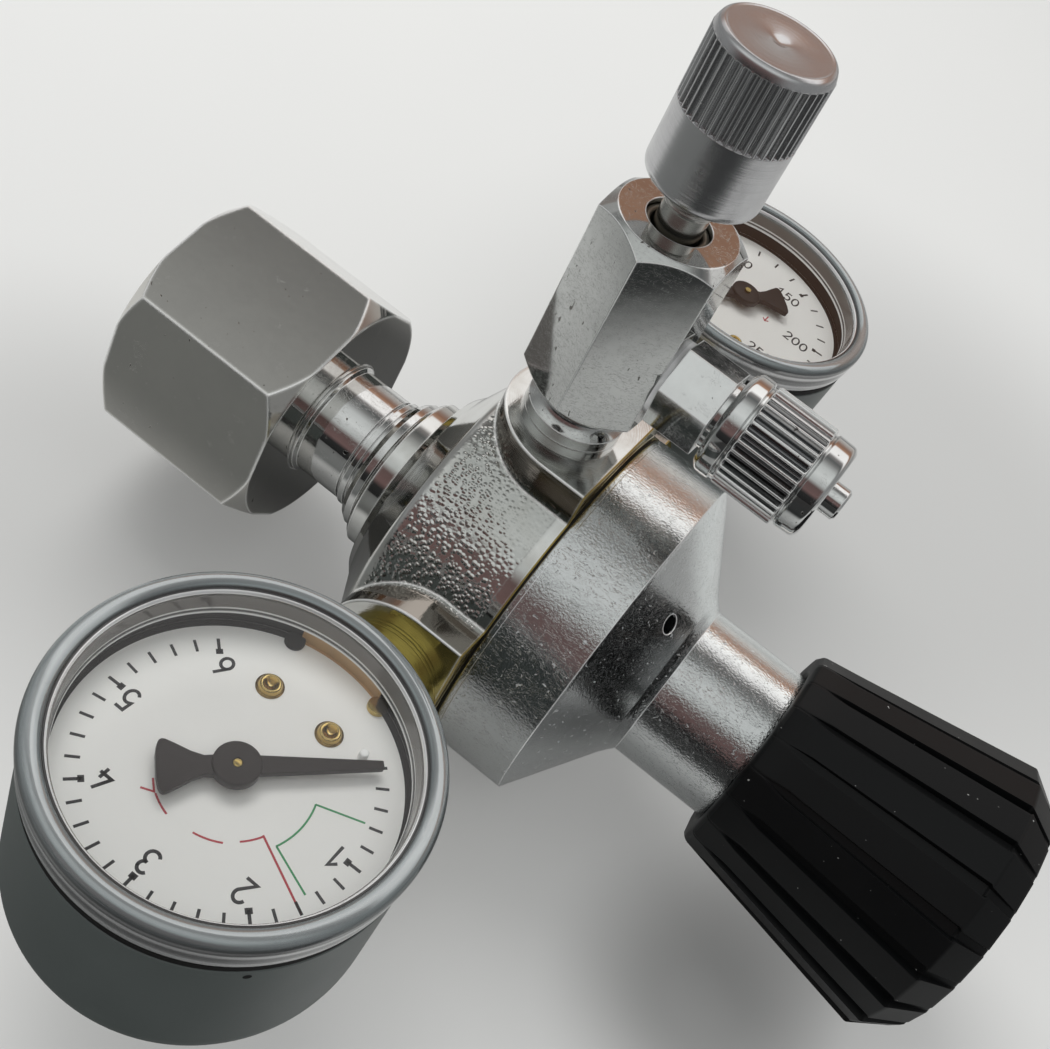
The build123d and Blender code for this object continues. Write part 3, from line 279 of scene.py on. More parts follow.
def plated_cast():
    """Nickel-chrome on the cast body: lumpy on the cylinder, machined on pads and shoulder."""
    f = Finish("plated_cast_body")
    spot = f.spot()
    x, y, z = f.parts(spot)
    radius = f.away(y, z)
    cast = f.step(x, 46.6, 48.2) * f.step(x, 61.7, 60.8) * f.step(radius, 25.6, 25.0)
    bent = f.noise(spot, 0.9, 1.0)
    drops = {"Vector": spot, "Scale": 1.7, "Smoothness": 0.35, "Randomness": 1.0}
    cell = f.node("ShaderNodeTexVoronoi", {"feature": "SMOOTH_F1"}, drops, out="Distance")
    lumps = f.step(cell + 0.35 * bent, 0.85, 0.25)
    fine = f.noise(spot, 2.4, 1.5, 0.5)
    strong = 0.2 + 0.8 * f.step(x + 0.8 * z, 77.0, 67.0)
    lip = f.step(x, 60.9, 61.4) * f.step(radius, 25.6, 25.0)
    up = f.step(z, 26.2, 26.6)
    rings_up = f.away(x - valve_x, y)
    rings_side = f.away(x - low_stem.x, z)
    reach = up * rings_up + (1 - up) * rings_side
    turned = f.noise(f.joined(reach, 0.0, 0.0), 5.5, 2.0, 0.7)
    flat = f.step(radius, 25.6, 26.6)
    lathe = f.noise(f.joined(x, radius * 0.4, 0.0), 4.0, 2.0, 0.6)
    height = cast * strong * (0.10 * lumps + 0.06 * bent + 0.02 * fine) + 0.10 * lip
    height = height + flat * 0.012 * turned + (1 - cast) * 0.004 * lathe
    f.relief(height, edge=0.6)
    grime = f.noise(spot, 0.22, 3.0, 0.6)
    shade = f.blend(f.step(grime, 0.35, 0.7), rgb(0.64, 0.645, 0.63), rgb(0.56, 0.555, 0.53))
    # Painted shade: the top of the cast cylinder is darker.
    shade = f.blend(0.55 * cast * f.step(z, 16.0, 20.5), shade, rgb(0.36, 0.37, 0.35))
    # Painted shade: the walls round the pads are darker.
    wall = f.step(radius, 24.9, 25.3) * f.step(x, 46.6, 48.2)
    wall = wall * f.step(z, 26.8, 26.6) * f.step(abs(y), 26.8, 26.6)
    shade = f.blend(wall, shade, rgb(0.30, 0.275, 0.245))
    brassy = f.step(x, 62.55, 62.65) * f.step(radius, 22.0, 23.0)
    # Painted highlight: the rounded edges turn near white.
    bright = f.blend(0.9 * f.rim, shade, rgb(1.0, 1.0, 0.98))
    f.put("Base Color", f.blend(brassy, bright, rgb(0.36, 0.27, 0.08)))
    f.put("Roughness", 0.055 + cast * 0.03 + 0.05 * f.step(grime, 0.4, 0.8))
    f.put("Metallic", 1 - 0.35 * f.rim)
    return f.material


def plated_satin():
    """The bonnet's plating: a fine peened skin with small bright dings and scratches."""
    f = Finish("plated_satin_bonnet")
    spot = f.spot()
    x, y, z = f.parts(spot)
    peened = f.noise(spot, 3.2, 2.0, 0.6)
    broad = f.noise(spot, 0.8, 2.0)
    dings = f.step(f.noise(spot, 1.6, 1.0, 0.5, 0.8), 0.69, 0.75)
    marks = scratches(f, spot, (0.5, 1.6, 1.6), 0.38)
    lathe = f.noise(f.joined(x, 0.0, 0.0), 6.0, 2.0, 0.6)
    cone = f.step(x, 74.3, 74.6) * f.step(x, 82.4, 82.0)
    height = (1 - 0.6 * cone) * (0.042 * peened + 0.012 * broad) + 0.002 * lathe
    height = height - 0.07 * (1 - 0.8 * cone) * dings - 0.03 * marks
    f.relief(height, edge=0.3)
    tone = f.noise(spot, 0.3, 3.0, 0.6)
    shade = f.blend(tone, rgb(0.62, 0.635, 0.635), rgb(0.54, 0.555, 0.555))
    # Painted highlight: the upper back of the bonnet is lighter.
    painted_sheen = f.step((0.78 * y + 0.62 * z) / f.away(y, z), 0.45, 0.8)
    shade = f.blend(0.85 * painted_sheen, shade, rgb(0.95, 1.0, 1.0))
    # Painted highlight: the rounded edges turn white.
    f.put("Base Color", f.blend(0.9 * f.rim, shade, grey(1.0)))
    f.put("Roughness", 0.055 + 0.06 * cone + 0.04 * tone + 0.05 * marks)
    f.put("Metallic", 1 - 0.45 * f.rim - 0.5 * dings)
    return f.material


def plated_bright(name, wear, wave, tint, tone, edge=0.22, groove=False):
    """Plating over turned or milled stock: flat and mirror-like, with light wear."""
    f = Finish(name)
    spot = f.spot()
    marks = scratches(f, spot, (0.7, 0.9, 2.4), wear)
    drawn = f.node("ShaderNodeVectorMath", {"operation": "MULTIPLY"}, {0: spot, 1: (2.2, 2.2, 0.9)})
    specks = f.step(f.noise(drawn, 1.0, 0.0, 0.5, 0.4), 0.14 + 0.14 * wear, 0.11 + 0.14 * wear)
    sag = f.noise(spot, 0.28, 2.0)
    f.relief(wave * sag * 4 - 0.004 * marks - 0.03 * specks, edge=edge)
    haze = f.noise(spot, 0.18, 4.0, 0.65)
    base = f.blend(f.step(haze, 0.3, 0.75), rgb(*tint), rgb(*tone))
    # Painted highlight: the rounded edges turn near white.
    base = f.blend(0.85 * f.rim, base, rgb(0.97, 0.97, 0.96))
    # Painted shade: the grooves of the knurl are darker.
    if groove:
        x, y, z = f.parts(spot)
        depth = f.step(f.away(y, z - outlet_z), 6.35, 5.9)
        knurled = f.step(x, 72.9, 73.1) * f.step(x, 80.9, 80.7)
        base = f.blend(depth * knurled, base, rgb(0.20, 0.205, 0.21))
    f.put("Base Color", f.blend(specks, base, rgb(0.18, 0.17, 0.16)))
    f.put("Roughness", 0.045 + 0.05 * f.step(haze, 0.35, 0.8) + 0.12 * marks)
    f.put("Metallic", 1 - 0.6 * f.rim)
    return f.material


def turned_metal(name, tint, shine, centre, axis, lines=6.0, depth=0.006, rough=0.12):
    """Metal left from the lathe: fine lines round an axis, rings on its end faces."""
    f = Finish(name, Metallic=1.0)
    spot = f.spot()
    places = f.parts(spot)
    own = "xyz".index(axis)
    across = [places[k] - centre[k] for k in range(3) if k != own]
    cut = f.noise(f.joined(places[own], f.away(*across), 0.0), lines, 3.0, 0.7)
    stain = f.noise(spot, 0.5, 3.0, 0.6)
    f.relief(depth * cut, edge=0.15)
    f.put("Base Color", f.blend(stain, rgb(*tint), rgb(*(level * 0.82 for level in tint))))
    f.put("Roughness", shine + rough * stain)
    return f.material


def moulded(name, tint, rough, grain, size, dusty=False, shine=0.45):
    """Moulded plastic: an even skin with a faint grain, and on the knob dust caught in it."""
    f = Finish(name, Specular_IOR_Level=shine)
    spot = f.spot()
    drift = f.noise(spot, 0.12, 3.0, 0.55)
    f.relief(grain * f.noise(spot, size, 3.0, 0.6))
    base = f.blend(drift, rgb(*tint), rgb(*(level * 1.25 + 0.001 for level in tint)))
    if dusty:
        dust = f.step(f.noise(spot, 1.4, 1.0, 0.5, 0.3), 0.791, 0.826)
        base = f.blend(dust, base, rgb(0.3, 0.3, 0.29))
    f.put("Base Color", base)
    f.put("Roughness", rough - 0.06 + 0.12 * drift)
    return f.material


def rivet_brass():
    """Brass rivet head with a drilled dimple, its shading painted in rings: a highlight at the
    middle, a dark ring, a bright band and a dark edge.
    """
    f = Finish("rivet_brass", Metallic=1.0)
    u, v, _ = f.parts(f.node("ShaderNodeTexCoord", out="Generated"))
    reach = f.away(u - 0.5, v - 0.5) * 2.0
    # Painted highlights and shade, in rings by distance from the middle.
    bands = (
        (0.0, (0.95, 0.80, 0.42)),
        (0.16, (0.80, 0.55, 0.18)),
        (0.3, (0.30, 0.17, 0.05)),
        (0.48, (0.55, 0.36, 0.10)),
        (0.62, (0.90, 0.70, 0.30)),
        (0.74, (0.70, 0.50, 0.17)),
        (0.88, (0.34, 0.22, 0.07)),
        (1.0, (0.22, 0.14, 0.05)),
    )
    stain = f.noise(f.spot(), 1.3, 2.0)
    f.relief(0.004 * f.noise(f.joined(reach, 0.0, 0.0), 9.0, 2.0))
    f.put("Base Color", f.blend(0.35 * stain, f.ramp(reach, *bands), rgb(0.40, 0.26, 0.08)))
    f.put("Roughness", 0.12 + 0.12 * stain)
    return f.material


def enamel():
    """White dial: even, with the slightest tooth and a warm cast."""
    f = Finish("dial_enamel", Specular_IOR_Level=0.35)
    spot = f.spot()
    f.relief(0.0015 * f.noise(spot, 5.0, 2.0))
    tone = f.noise(spot, 0.15, 2.0)
    f.put("Base Color", f.blend(tone, rgb(0.91, 0.90, 0.875), rgb(0.88, 0.87, 0.845)))
    f.put("Roughness", 0.42 + 0.1 * tone)
    return f.material


def ink(name, tint):
    """Printing on a dial, slightly uneven."""
    f = Finish(name)
    worn = f.noise(f.spot(), 6.0, 2.0)
    f.put("Base Color", f.blend(worn, rgb(*tint), rgb(*(level * 1.3 + 0.01 for level in tint))))
    f.put("Roughness", 0.5 + 0.1 * worn)
    return f.material


def rubber(name, level, rough=0.6):
    """Soft matt stock of one grey, for seals, and near black for the painted shade of hollows and
    gaps.
    """
    f = Finish(name)
    spot = f.spot()
    f.relief(0.01 * f.noise(spot, 4.0, 3.0))
    f.put("Base Color", f.blend(f.noise(spot, 0.6, 3.0), grey(level), grey(level * 1.6)))
    f.put("Roughness", rough + 0.1 * f.noise(spot, 1.1))
    return f.material


def gauge_height(x, y, z):
    """Height along the axis of the gauge that the spot is on."""
    on_high = y > 0
    leaning = (x - high_origin.x) * high_up.x + (z - high_origin.z) * high_up.z
    return (z - low_lift) * (1 - on_high) + leaning * on_high


def gauge_reach(f, x, y, z):
    """Distance from the axis of the gauge that the spot is on."""
    on_high = y > 0
    across = (x - high_origin.x) * high_up.z - (z - high_origin.z) * high_up.x
    low_reach = f.away(x - low_stem.x, y - low_stem.y)
    high_reach = f.away(across, y - high_origin.y)
    return low_reach * (1 - on_high) + high_reach * on_high


def passing_light(f):
    """1 for the rays that shade and light the dial: clear plastic lets them through."""
    return f.rays("Shadow") + f.rays("Diffuse")


def clear_ring():
    """Thick clear moulding, with highlight and shade lines painted in its colour over its beads."""
    f = Finish("clear_plastic_rim", Metallic=0.45, Transmission_Weight=0.5, IOR=1.46)
    spot = f.spot()
    place_on = f.parts(spot)
    height = gauge_height(*place_on)
    shoulder, lit = (0.26, 0.29, 0.295), (0.46, 0.49, 0.495)
    # Painted highlight and shade lines across the top, by distance from the axis.
    top = f.ramp(
        (gauge_reach(f, *place_on) - rim_bore) / (rim_outer - rim_bore),
        (0.0, 1.0),
        (0.08, 1.0),
        (0.12, 0.06),
        (0.20, 0.09),
        (0.27, shoulder),
        (0.48, lit),
        (0.62, lit),
        (0.85, shoulder),
        (1.0, 0.10),
    )
    # Painted highlight and shade lines down the side, by height.
    side = f.ramp(
        (height - 16.8) / 5.0,
        (0.0, 0.6),
        (0.10, 0.85),
        (0.2, 0.5),
        (0.3, 0.75),
        (0.36, 0.3),
        (0.55, 0.22),
        (0.62, 0.75),
        (0.68, 0.9),
        (0.74, 0.2),
        (0.80, 0.35),
        (1.0, 0.4),
    )
    wave = f.noise(spot, 0.5, 2.0)
    f.relief(0.001 * wave)
    f.put("Base Color", f.blend(f.step(height, 20.9, 21.1), side, top))
    f.put("Roughness", 0.03 + 0.05 * wave)
    through = f.node("ShaderNodeBsdfTransparent", {}, {"Color": rgb(0.92, 0.93, 0.93)})
    f.show(f.node("ShaderNodeMixShader", {}, {0: passing_light(f), 1: f.solid(), 2: through}))
    return f.material


def clear_skirt():
    """The moulding's inner wall: smoky, with two painted highlight lines round its lower edge."""
    f = Finish("clear_plastic_skirt", Metallic=0.2, IOR=1.46)
    spot = f.spot()
    wave = f.noise(spot, 0.7, 2.0)
    # Painted highlights: two bright lines with a dark line between, round the lower edge.
    lines = f.ramp(
        (gauge_height(*f.parts(spot)) - 18.0) / 3.0,
        (0.0, 0.95),
        (0.13, 0.95),
        (0.17, 0.05),
        (0.22, 0.05),
        (0.25, 0.9),
        (0.29, 0.9),
        (0.33, (0.15, 0.14, 0.13)),
        (1.0, (0.17, 0.16, 0.15)),
    )
    f.put("Base Color", lines)
    f.put("Roughness", 0.05 + 0.08 * wave)
    through = f.node("ShaderNodeBsdfTransparent", {}, {"Color": rgb(0.97, 0.975, 0.97)})
    share = 0.88 * (1 - passing_light(f))
    f.show(f.node("ShaderNodeMixShader", {}, {0: share, 1: through, 2: f.solid()}))
    return f.material


def clear_window():
    """Thin clear window: see-through, with a gloss that grows at a glance."""
    f = Finish("clear_plastic_window")
    f.tree.nodes.remove(f.shader)
    through = f.node("ShaderNodeBsdfTransparent", {}, {"Color": rgb(0.98, 0.985, 0.98)})
    gloss = f.node("ShaderNodeBsdfGlossy", {}, {"Color": grey(1.0), "Roughness": 0.05})
    share = f.node("ShaderNodeFresnel", {}, {"IOR": 1.46})
    f.show(f.node("ShaderNodeMixShader", {}, {0: share, 1: through, 2: gloss}))
    return f.material


on_valve = (valve_x, 0, 0)
on_main = (0, 0, 0)
socket_brass = (0.52, 0.42, 0.11)
finish = {
    "body": plated_cast(),
    "bonnet": plated_satin(),
    "nut": plated_bright(
        "plated_union_nut", 0.12, 0.002, (0.58, 0.57, 0.54), (0.55, 0.54, 0.515), 0.7
    ),
    "stem": plated_bright("plated_stem", 0.3, 0.003, (0.66, 0.665, 0.66), (0.58, 0.58, 0.57)),
    "valve": plated_bright(
        "plated_valve", 0.4, 0.002, (0.54, 0.55, 0.54), (0.49, 0.50, 0.49), 0.28
    ),
    "outlet": plated_bright(
        "plated_outlet", 0.2, 0.002, (0.68, 0.69, 0.685), (0.62, 0.625, 0.62), groove=True
    ),
    "aluminium": turned_metal(
        "turned_aluminium", (0.64, 0.64, 0.65), 0.17, on_valve, "z", 3.2, 0.016, 0.14
    ),
    "steel": turned_metal("turned_steel", (0.56, 0.55, 0.53), 0.2, on_main, "x"),
    "spindle": turned_metal(
        "valve_spindle_steel", (0.62, 0.61, 0.58), 0.16, on_valve, "z", 3.0, 0.004
    ),
    "gland": turned_metal("gland_steel", (0.20, 0.19, 0.16), 0.35, on_valve, "z", 3.0, 0.004),
    "low_brass": turned_metal(
        "low_socket_brass", socket_brass, 0.12, low_stem, "y", 2.0, 0.03
    ),
    "high_brass": turned_metal(
        "high_socket_brass", socket_brass, 0.12, high_stem, "y", 2.0, 0.03
    ),
    "inner_brass": turned_metal("inner_brass", (0.75, 0.55, 0.25), 0.2, on_main, "x"),
    "rivet": rivet_brass(),
    "movement": turned_metal(
        "movement_brass", (0.62, 0.46, 0.16), 0.16, low_stem, "z", 4.0, 0.003
    ),
    "strip": moulded("strip_bronze", (0.46, 0.28, 0.12), 0.35, 0.004, 5.0),
    "copper": turned_metal("tube_copper", (0.72, 0.42, 0.26), 0.22, low_stem, "z", 2.0, 0.004),
    "knob": moulded("knob_plastic", (0.0028, 0.0031, 0.0034), 0.42, 0.005, 6.0, True, 0.18),
    "case": moulded("case_plastic", (0.066, 0.077, 0.074), 0.42, 0.004, 8.0, shine=0.5),
    "pointer": moulded("pointer_paint", (0.015, 0.0105, 0.010), 0.40, 0.003, 8.0, shine=0.3),
    "peg": moulded("peg_plastic", (0.85, 0.85, 0.84), 0.4, 0.002, 8.0),
    "enamel": enamel(),
    "black": ink("black_print", (0.02, 0.02, 0.022)),
    "green": ink("green_print", (0.03, 0.25, 0.09)),
    "red": ink("red_print", (0.40, 0.03, 0.045)),
    "rubber": rubber("black_rubber", 0.008),
    "seal": rubber("pale_seal", 0.55),
    "dark": rubber("painted_shade_black", 0.004, 0.8),
    "rim": clear_ring(),
    "skirt": clear_skirt(),
    "window": clear_window(),
}


# ---- shapes ------------------------------------------------------------------------------
def rounded(profile, steps=4):
    """Profile with rounded corners, from points (along, radius) or (along, radius, round)."""
    line = []
    for index, point in enumerate(profile):
        here = Vector(point[:2])
        bend = point[2] if len(point) > 2 else 0.0
        if not bend or index in (0, len(profile) - 1):
            line.append(tuple(here))
            continue
        before = Vector(profile[index - 1][:2]) - here
        after = Vector(profile[index + 1][:2]) - here
        cut = min(bend, before.length * 0.49, after.length * 0.49)
        first = here + before.normalized() * cut
        last = here + after.normalized() * cut
        for step in range(steps + 1):
            t = step / steps
            line.append(tuple(first * (1 - t) ** 2 + here * 2 * t * (1 - t) + last * t ** 2))
    return line


def skin(rings):
    """Vertices and faces of a surface through closed rings. A ring of one point closes an end."""
    verts, faces, starts = [], [], []
    for ring in rings:
        starts.append(len(verts))
        verts.extend(ring)
    for index in range(len(rings) - 1):
        a, b = starts[index], starts[index + 1]
        count_a, count_b = len(rings[index]), len(rings[index + 1])
        count = max(count_a, count_b)
        for k in range(count):
            n = (k + 1) % count
            if count_a == 1:
                faces.append((a, b + k, b + n))
            elif count_b == 1:
                faces.append((a + k, b, a + n))
            else:
                faces.append((a + k, b + k, b + n, a + n))
    return verts, faces


def around(radius, angle, along):
    """Point at an angle round the axis, in radians."""
    return (radius * math.cos(angle), radius * math.sin(angle), along)


def plain_ring(along, radius, count=120):
    return [around(radius, 2 * math.pi * k / count, along) for k in range(count)]


def turned(profile, segments=96, cut=None):
    """Rings of a turned shape. cut(angle share, along, radius) may change the radius."""
    rings = []
    for along, radius in profile:
        if radius < 1e-6:
            rings.append([(0.0, 0.0, along)])
            continue
        ring = []
        for k in range(segments):
            reach = cut(k / segments, along, radius) if cut else radius
            ring.append(around(reach, 2 * math.pi * k / segments, along))
        rings.append(ring)
    return skin(rings)


def make(name, shape, where, material, body, replaces=(), crease=32, bevel=0.0, join=()):
    """A finished piece from vertices and faces in its local frame. join lists further shapes."""
    bm = bmesh.new()
    for verts, faces in (shape, *join):
        made = [bm.verts.new(where @ Vector(v)) for v in verts]
        for face in faces:
            bm.faces.new([made[i] for i in face])
    bmesh.ops.remove_doubles(bm, verts=bm.verts, dist=1e-8)
    bmesh.ops.recalc_face_normals(bm, faces=bm.faces)
    mesh = bpy.data.meshes.new(name)
    bm.to_mesh(mesh)
    bm.free()
    mesh.shade_smooth()
    mesh.set_sharp_from_angle(angle=math.radians(crease))
    mesh.materials.append(material)
    obj = bpy.data.objects.new(name, mesh)
    bpy.context.scene.collection.objects.link(obj)
    if bevel:
        soft = obj.modifiers.new("soft_edges", "BEVEL")
        soft.width = bevel * MM
        soft.segments = 2
        soft.limit_method = "ANGLE"
        soft.angle_limit = math.radians(28)
    if isinstance(body, tuple):
        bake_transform(obj)
    else:
        weight = obj.modifiers.new("even_shading", "WEIGHTED_NORMAL")
        weight.keep_sharp = not bevel
        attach(obj, body)
    if replaces:
        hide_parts(*replaces)
    return obj


def slab(outlines, low, high):
    """Flat plates from outlines of (x, y) points, between two heights."""
    verts, faces = [], []
    for outline in outlines:
        start, count = len(verts), len(outline)
        verts += [(x, y, low) for x, y in outline]
        verts += [(x, y, high) for x, y in outline]
        faces.append(tuple(start + count + k for k in range(count)))
        faces.append(tuple(start + k for k in reversed(range(count))))
        for k in range(count):
            n = (k + 1) % count
            faces.append((start + k, start + n, start + count + n, start + count + k))
    return verts, faces


def stroke(line, width, closed=False):
    """Outlines that follow a line of (x, y) points at one width."""
    points = [Vector(p) for p in line]
    count = len(points)
    left, right = [], []
    for index, point in enumerate(points):
        before = points[index - 1] if index or closed else point
        after = points[(index + 1) % count] if index < count - 1 or closed else point
        along = after - before
        if index and index < count - 1 or closed:
            a, b = (point - before).normalized(), (after - point).normalized()
            along = a + b
            reach = width / 2 / max(0.5, math.sqrt(max(0.0, (1 + a.dot(b)) / 2)))
        else:
            reach = width / 2
        along = along.normalized()
        side = Vector((-along.y, along.x)) * reach
        left.append(point + side)
        right.append(point - side)
    quads = []
    for index in range(count if closed else count - 1):
        n = (index + 1) % count
        quads.append([tuple(right[index]), tuple(right[n]), tuple(left[n]), tuple(left[index])])
    return quads


def arc(cx, cy, rx, ry, start, end, steps=14):
    """Points along part of an ellipse, angles in degrees."""
    turns = [math.radians(start + (end - start) * k / steps) for k in range(steps + 1)]
    return [(cx + rx * math.cos(t), cy + ry * math.sin(t)) for t in turns]


def polar(radius, angle):
    """Point of a dial at an angle in degrees."""
    t = math.radians(angle)
    return (radius * math.cos(t), radius * math.sin(t))


# ---- numbers for the dials ---------------------------------------------------------------
# Lines of each digit, one unit high, and whether each line closes on itself.
digit_lines = {
    "0": [(arc(0.28, 0.5, 0.27, 0.5, 0, 346, 20), True)],
    "1": [([(0.06, 0.72), (0.34, 1.0), (0.34, 0.0)], False)],
    "2": [(arc(0.29, 0.72, 0.25, 0.28, 165, -30) + [(0.05, 0.0), (0.56, 0.0)], False)],
    "3": [
        (arc(0.27, 0.76, 0.23, 0.24, 150, -80), False),
        (arc(0.27, 0.28, 0.27, 0.28, 85, -150), False),
    ],
    "4": [([(0.34, 1.0), (0.02, 0.27), (0.58, 0.27)], False), ([(0.42, 0.5), (0.42, 0.0)], False)],
    "5": [
        ([(0.50, 1.0), (0.12, 1.0), (0.08, 0.56)] + arc(0.27, 0.32, 0.26, 0.32, 110, -145), False),
    ],
    "6": [([(0.42, 1.0), (0.07, 0.42)], False), (arc(0.28, 0.28, 0.25, 0.28, 0, 342, 18), True)],
}


def number(text, centre, height, width):
    """Outlines of a number, upright on the dial and centred on a point."""
    pitch, digit_width = 0.78, 0.56
    full = pitch * (len(text) - 1) + digit_width
    outlines = []
    for index, digit in enumerate(text):
        left = centre[0] + (index * pitch - full / 2) * height
        foot = centre[1] - height / 2
        for line, closed in digit_lines[digit]:
            points = [(left + x * height, foot + y * height) for x, y in line]
            outlines += stroke(points, width, closed)
    return outlines


def spoke(angle, inner, outer, width):
    """Outline of a straight line between two radii of the dial."""
    return stroke([polar(inner, angle), polar(outer, angle)], width)


# ---- pieces carried over from the model, with their finishes -----------------------------
def dress(material, *names):
    """Give pieces of the model their finish."""
    for name in names:
        mesh = nodes[name].data
        mesh.materials.clear()
        mesh.materials.append(material)


dress(finish["body"], "body")
dress(finish["bonnet"], "bonnet")
dress(finish["nut"], "inlet_nut")
dress(finish["stem"], "inlet_stem")
dress(finish["valve"], "valve_body")
dress(finish["outlet"], "outlet_fitting")
dress(finish["steel"], "inlet_slip_ring", "adjusting_spindle", "knob_screw")
dress(finish["steel"], "diaphragm_nut", "push_pin", "valve_set_screw")
dress(finish["inner_brass"], "knob_insert", "spring_button", "seat_nozzle", "poppet")
dress(finish["inner_brass"], "inlet_filter", "outlet_clamp_ring", "diaphragm_plate")
dress(finish["rubber"], "needle_oring")
dress(finish["seal"], "inlet_seal", "poppet_seal", "outlet_seal")
dress(finish["knob"], "knob_cap")
for side in gauges:
    dress(finish[f"{side}_brass"], f"{side}_socket", f"{side}_gauge_seal")
    dress(finish["movement"], f"{side}_movement", f"{side}_sector", f"{side}_pinion")
    dress(finish["copper"], f"{side}_bourdon_tube")


# ---- lips of the seam between body and bonnet --------------------------------------------
bonnet_lip = rounded(
    [
        (63.02, 23.6),
        (63.02, 24.3, 0.1),
        (63.22, 24.47, 0.1),
        (63.9, 24.485),
        (63.9, 23.6),
        (63.02, 23.6),
    ]
)
make("bonnet_lip", turned(bonnet_lip, 180), main_axis, finish["bonnet"], "regulator")
body_lip = rounded(
    [
        (61.3, 24.0),
        (61.7, 24.4, 0.2),
        (62.05, 24.49, 0.2),
        (62.45, 24.48, 0.2),
        (62.72, 24.0),
        (61.3, 24.0),
    ]
)
make("body_lip", turned(body_lip, 180), main_axis, finish["body"], "regulator")


# ---- adjusting knob ----------------------------------------------------------------------
knob_ribs = 20
knob_turn = math.radians(5.5)  # how far the first rib is turned round the axis
knob_start, knob_knee, knob_end = 96.7, 126.4, 131.0
knob_small, knob_large = 14.9, 20.2


def knob_ring(along, radius, depth, width):
    """One ring of the knob: facets a little lower at one side, with grooves between."""
    pitch = 2 * math.pi / knob_ribs
    half = width / 2 / radius
    low, floor = radius - depth * 0.28, radius - depth
    ring = []
    for rib in range(knob_ribs):
        centre = rib * pitch + knob_turn
        first = Vector(around(radius, centre - pitch / 2 + half, along))
        last = Vector(around(low, centre + pitch / 2 - half, along))
        ring += [tuple(first.lerp(last, share)) for share in (0.0, 0.06, 0.94, 1.0)]
        ring += [around(floor, centre + pitch / 2 + half * edge, along) for edge in (-0.8, 0.8)]
    return ring


def knob_shape():
    """The knob from its bore, over the skirt and the grooved grip, to the recess in its end."""
    slope = (knob_large - knob_small) / (knob_knee - knob_start)

    def grip_ring(out, depth, width, lift=0.0):
        return knob_ring(knob_start + out, knob_small + slope * out + lift, depth, width)

    rings = [plain_ring(108.0, 5.2), plain_ring(108.0, 11.8)]
    rings += [plain_ring(knob_start + 0.6, 11.8), plain_ring(knob_start + 0.1, 12.1)]
    rings += [knob_ring(knob_start, radius, 0.02, 0.3) for radius in (12.7, 13.9)]
    for out, lift in ((0.15, -0.42), (0.5, -0.08), (0.9, 0.0)):
        rings.append(grip_ring(out, 0.03, 0.3, lift))
    grooves = 2.2  # where the grooves begin
    rings.append(grip_ring(grooves, 0.04, 0.3))
    for share in (0.03, 0.06, 0.12, 0.2, 0.35, 0.5, 0.65, 0.8, 0.9, 1.0):
        out = grooves + (knob_knee - 0.25 - knob_start - grooves) * share
        begun = min(1.0, share * 9)
        depth = 0.05 + (0.65 + 0.75 * share) * begun
        width = 0.30 + (0.75 + 0.85 * share) * begun
        rings.append(grip_ring(out, depth, width))
    shoulder = (
        (knob_knee, 20.13),
        (knob_knee + 0.3, 19.95),
        (knob_end - 0.5, 17.4),
        (knob_end - 0.12, 17.02),
        (knob_end, 16.6),
    )
    for along, radius in shoulder:
        fading = max(0.25, 1.0 - 0.35 * max(0.0, along - knob_knee))
        rings.append(knob_ring(along, radius, 1.2 * fading, 1.35 * radius / knob_large))
    rings += [knob_ring(knob_end, 14.6, 0.05, 0.3), plain_ring(knob_end, 12.6)]
    rings += [plain_ring(knob_end - 0.3, 12.2), plain_ring(knob_end - 2.0, 12.1)]
    rings += [[(0.0, 0.0, knob_end - 2.0)]]
    return skin(rings)


make(
    "adjusting_knob_grip",
    knob_shape(),
    main_axis,
    finish["knob"],
    "knob",
    ["adjusting_knob"],
    crease=24,
    bevel=0.16,
)


# ---- valve knob --------------------------------------------------------------------------
def teeth(count, depth, low, high, flat=0.3):
    """A cut that knurls the radius between two places along the axis."""

    def cut(share, along, radius):
        if not low <= along <= high:
            return radius
        wave = abs(((share * count) % 1.0) * 2 - 1)
        sharp = min(1.0, max(0.0, (wave - flat / 2) / (1 - flat)))
        return radius - depth * sharp

    return cut


valve_knob_profile = rounded(
    [
        (62.0, 3.02),
        (62.0, 5.9, 0.15),
        (62.35, 6.5, 0.25),
        (62.9, 6.65, 0.3),
        (70.35, 6.65),
        (70.5, 6.62),
    ]
)
valve_knob_profile += [(70.55, 6.65), (74.2, 6.65), (78.2, 6.65)]
valve_knob_profile += rounded(
    [
        (78.25, 6.6),
        (78.6, 6.5, 0.15),
        (79.1, 6.3, 0.2),
        (79.4, 5.85, 0.15),
        (79.3, 5.6, 0.1),
        (79.36, 1.4),
        (79.15, 0.7, 0.3),
        (79.0, 0.0),
    ]
)
make(
    "valve_knob_turned",
    turned(valve_knob_profile, 280, teeth(40, 0.46, 70.52, 78.22, 0.45)),
    valve_axis,
    finish["aluminium"],
    "valve_needle",
    ["valve_knob"],
    crease=30,
)


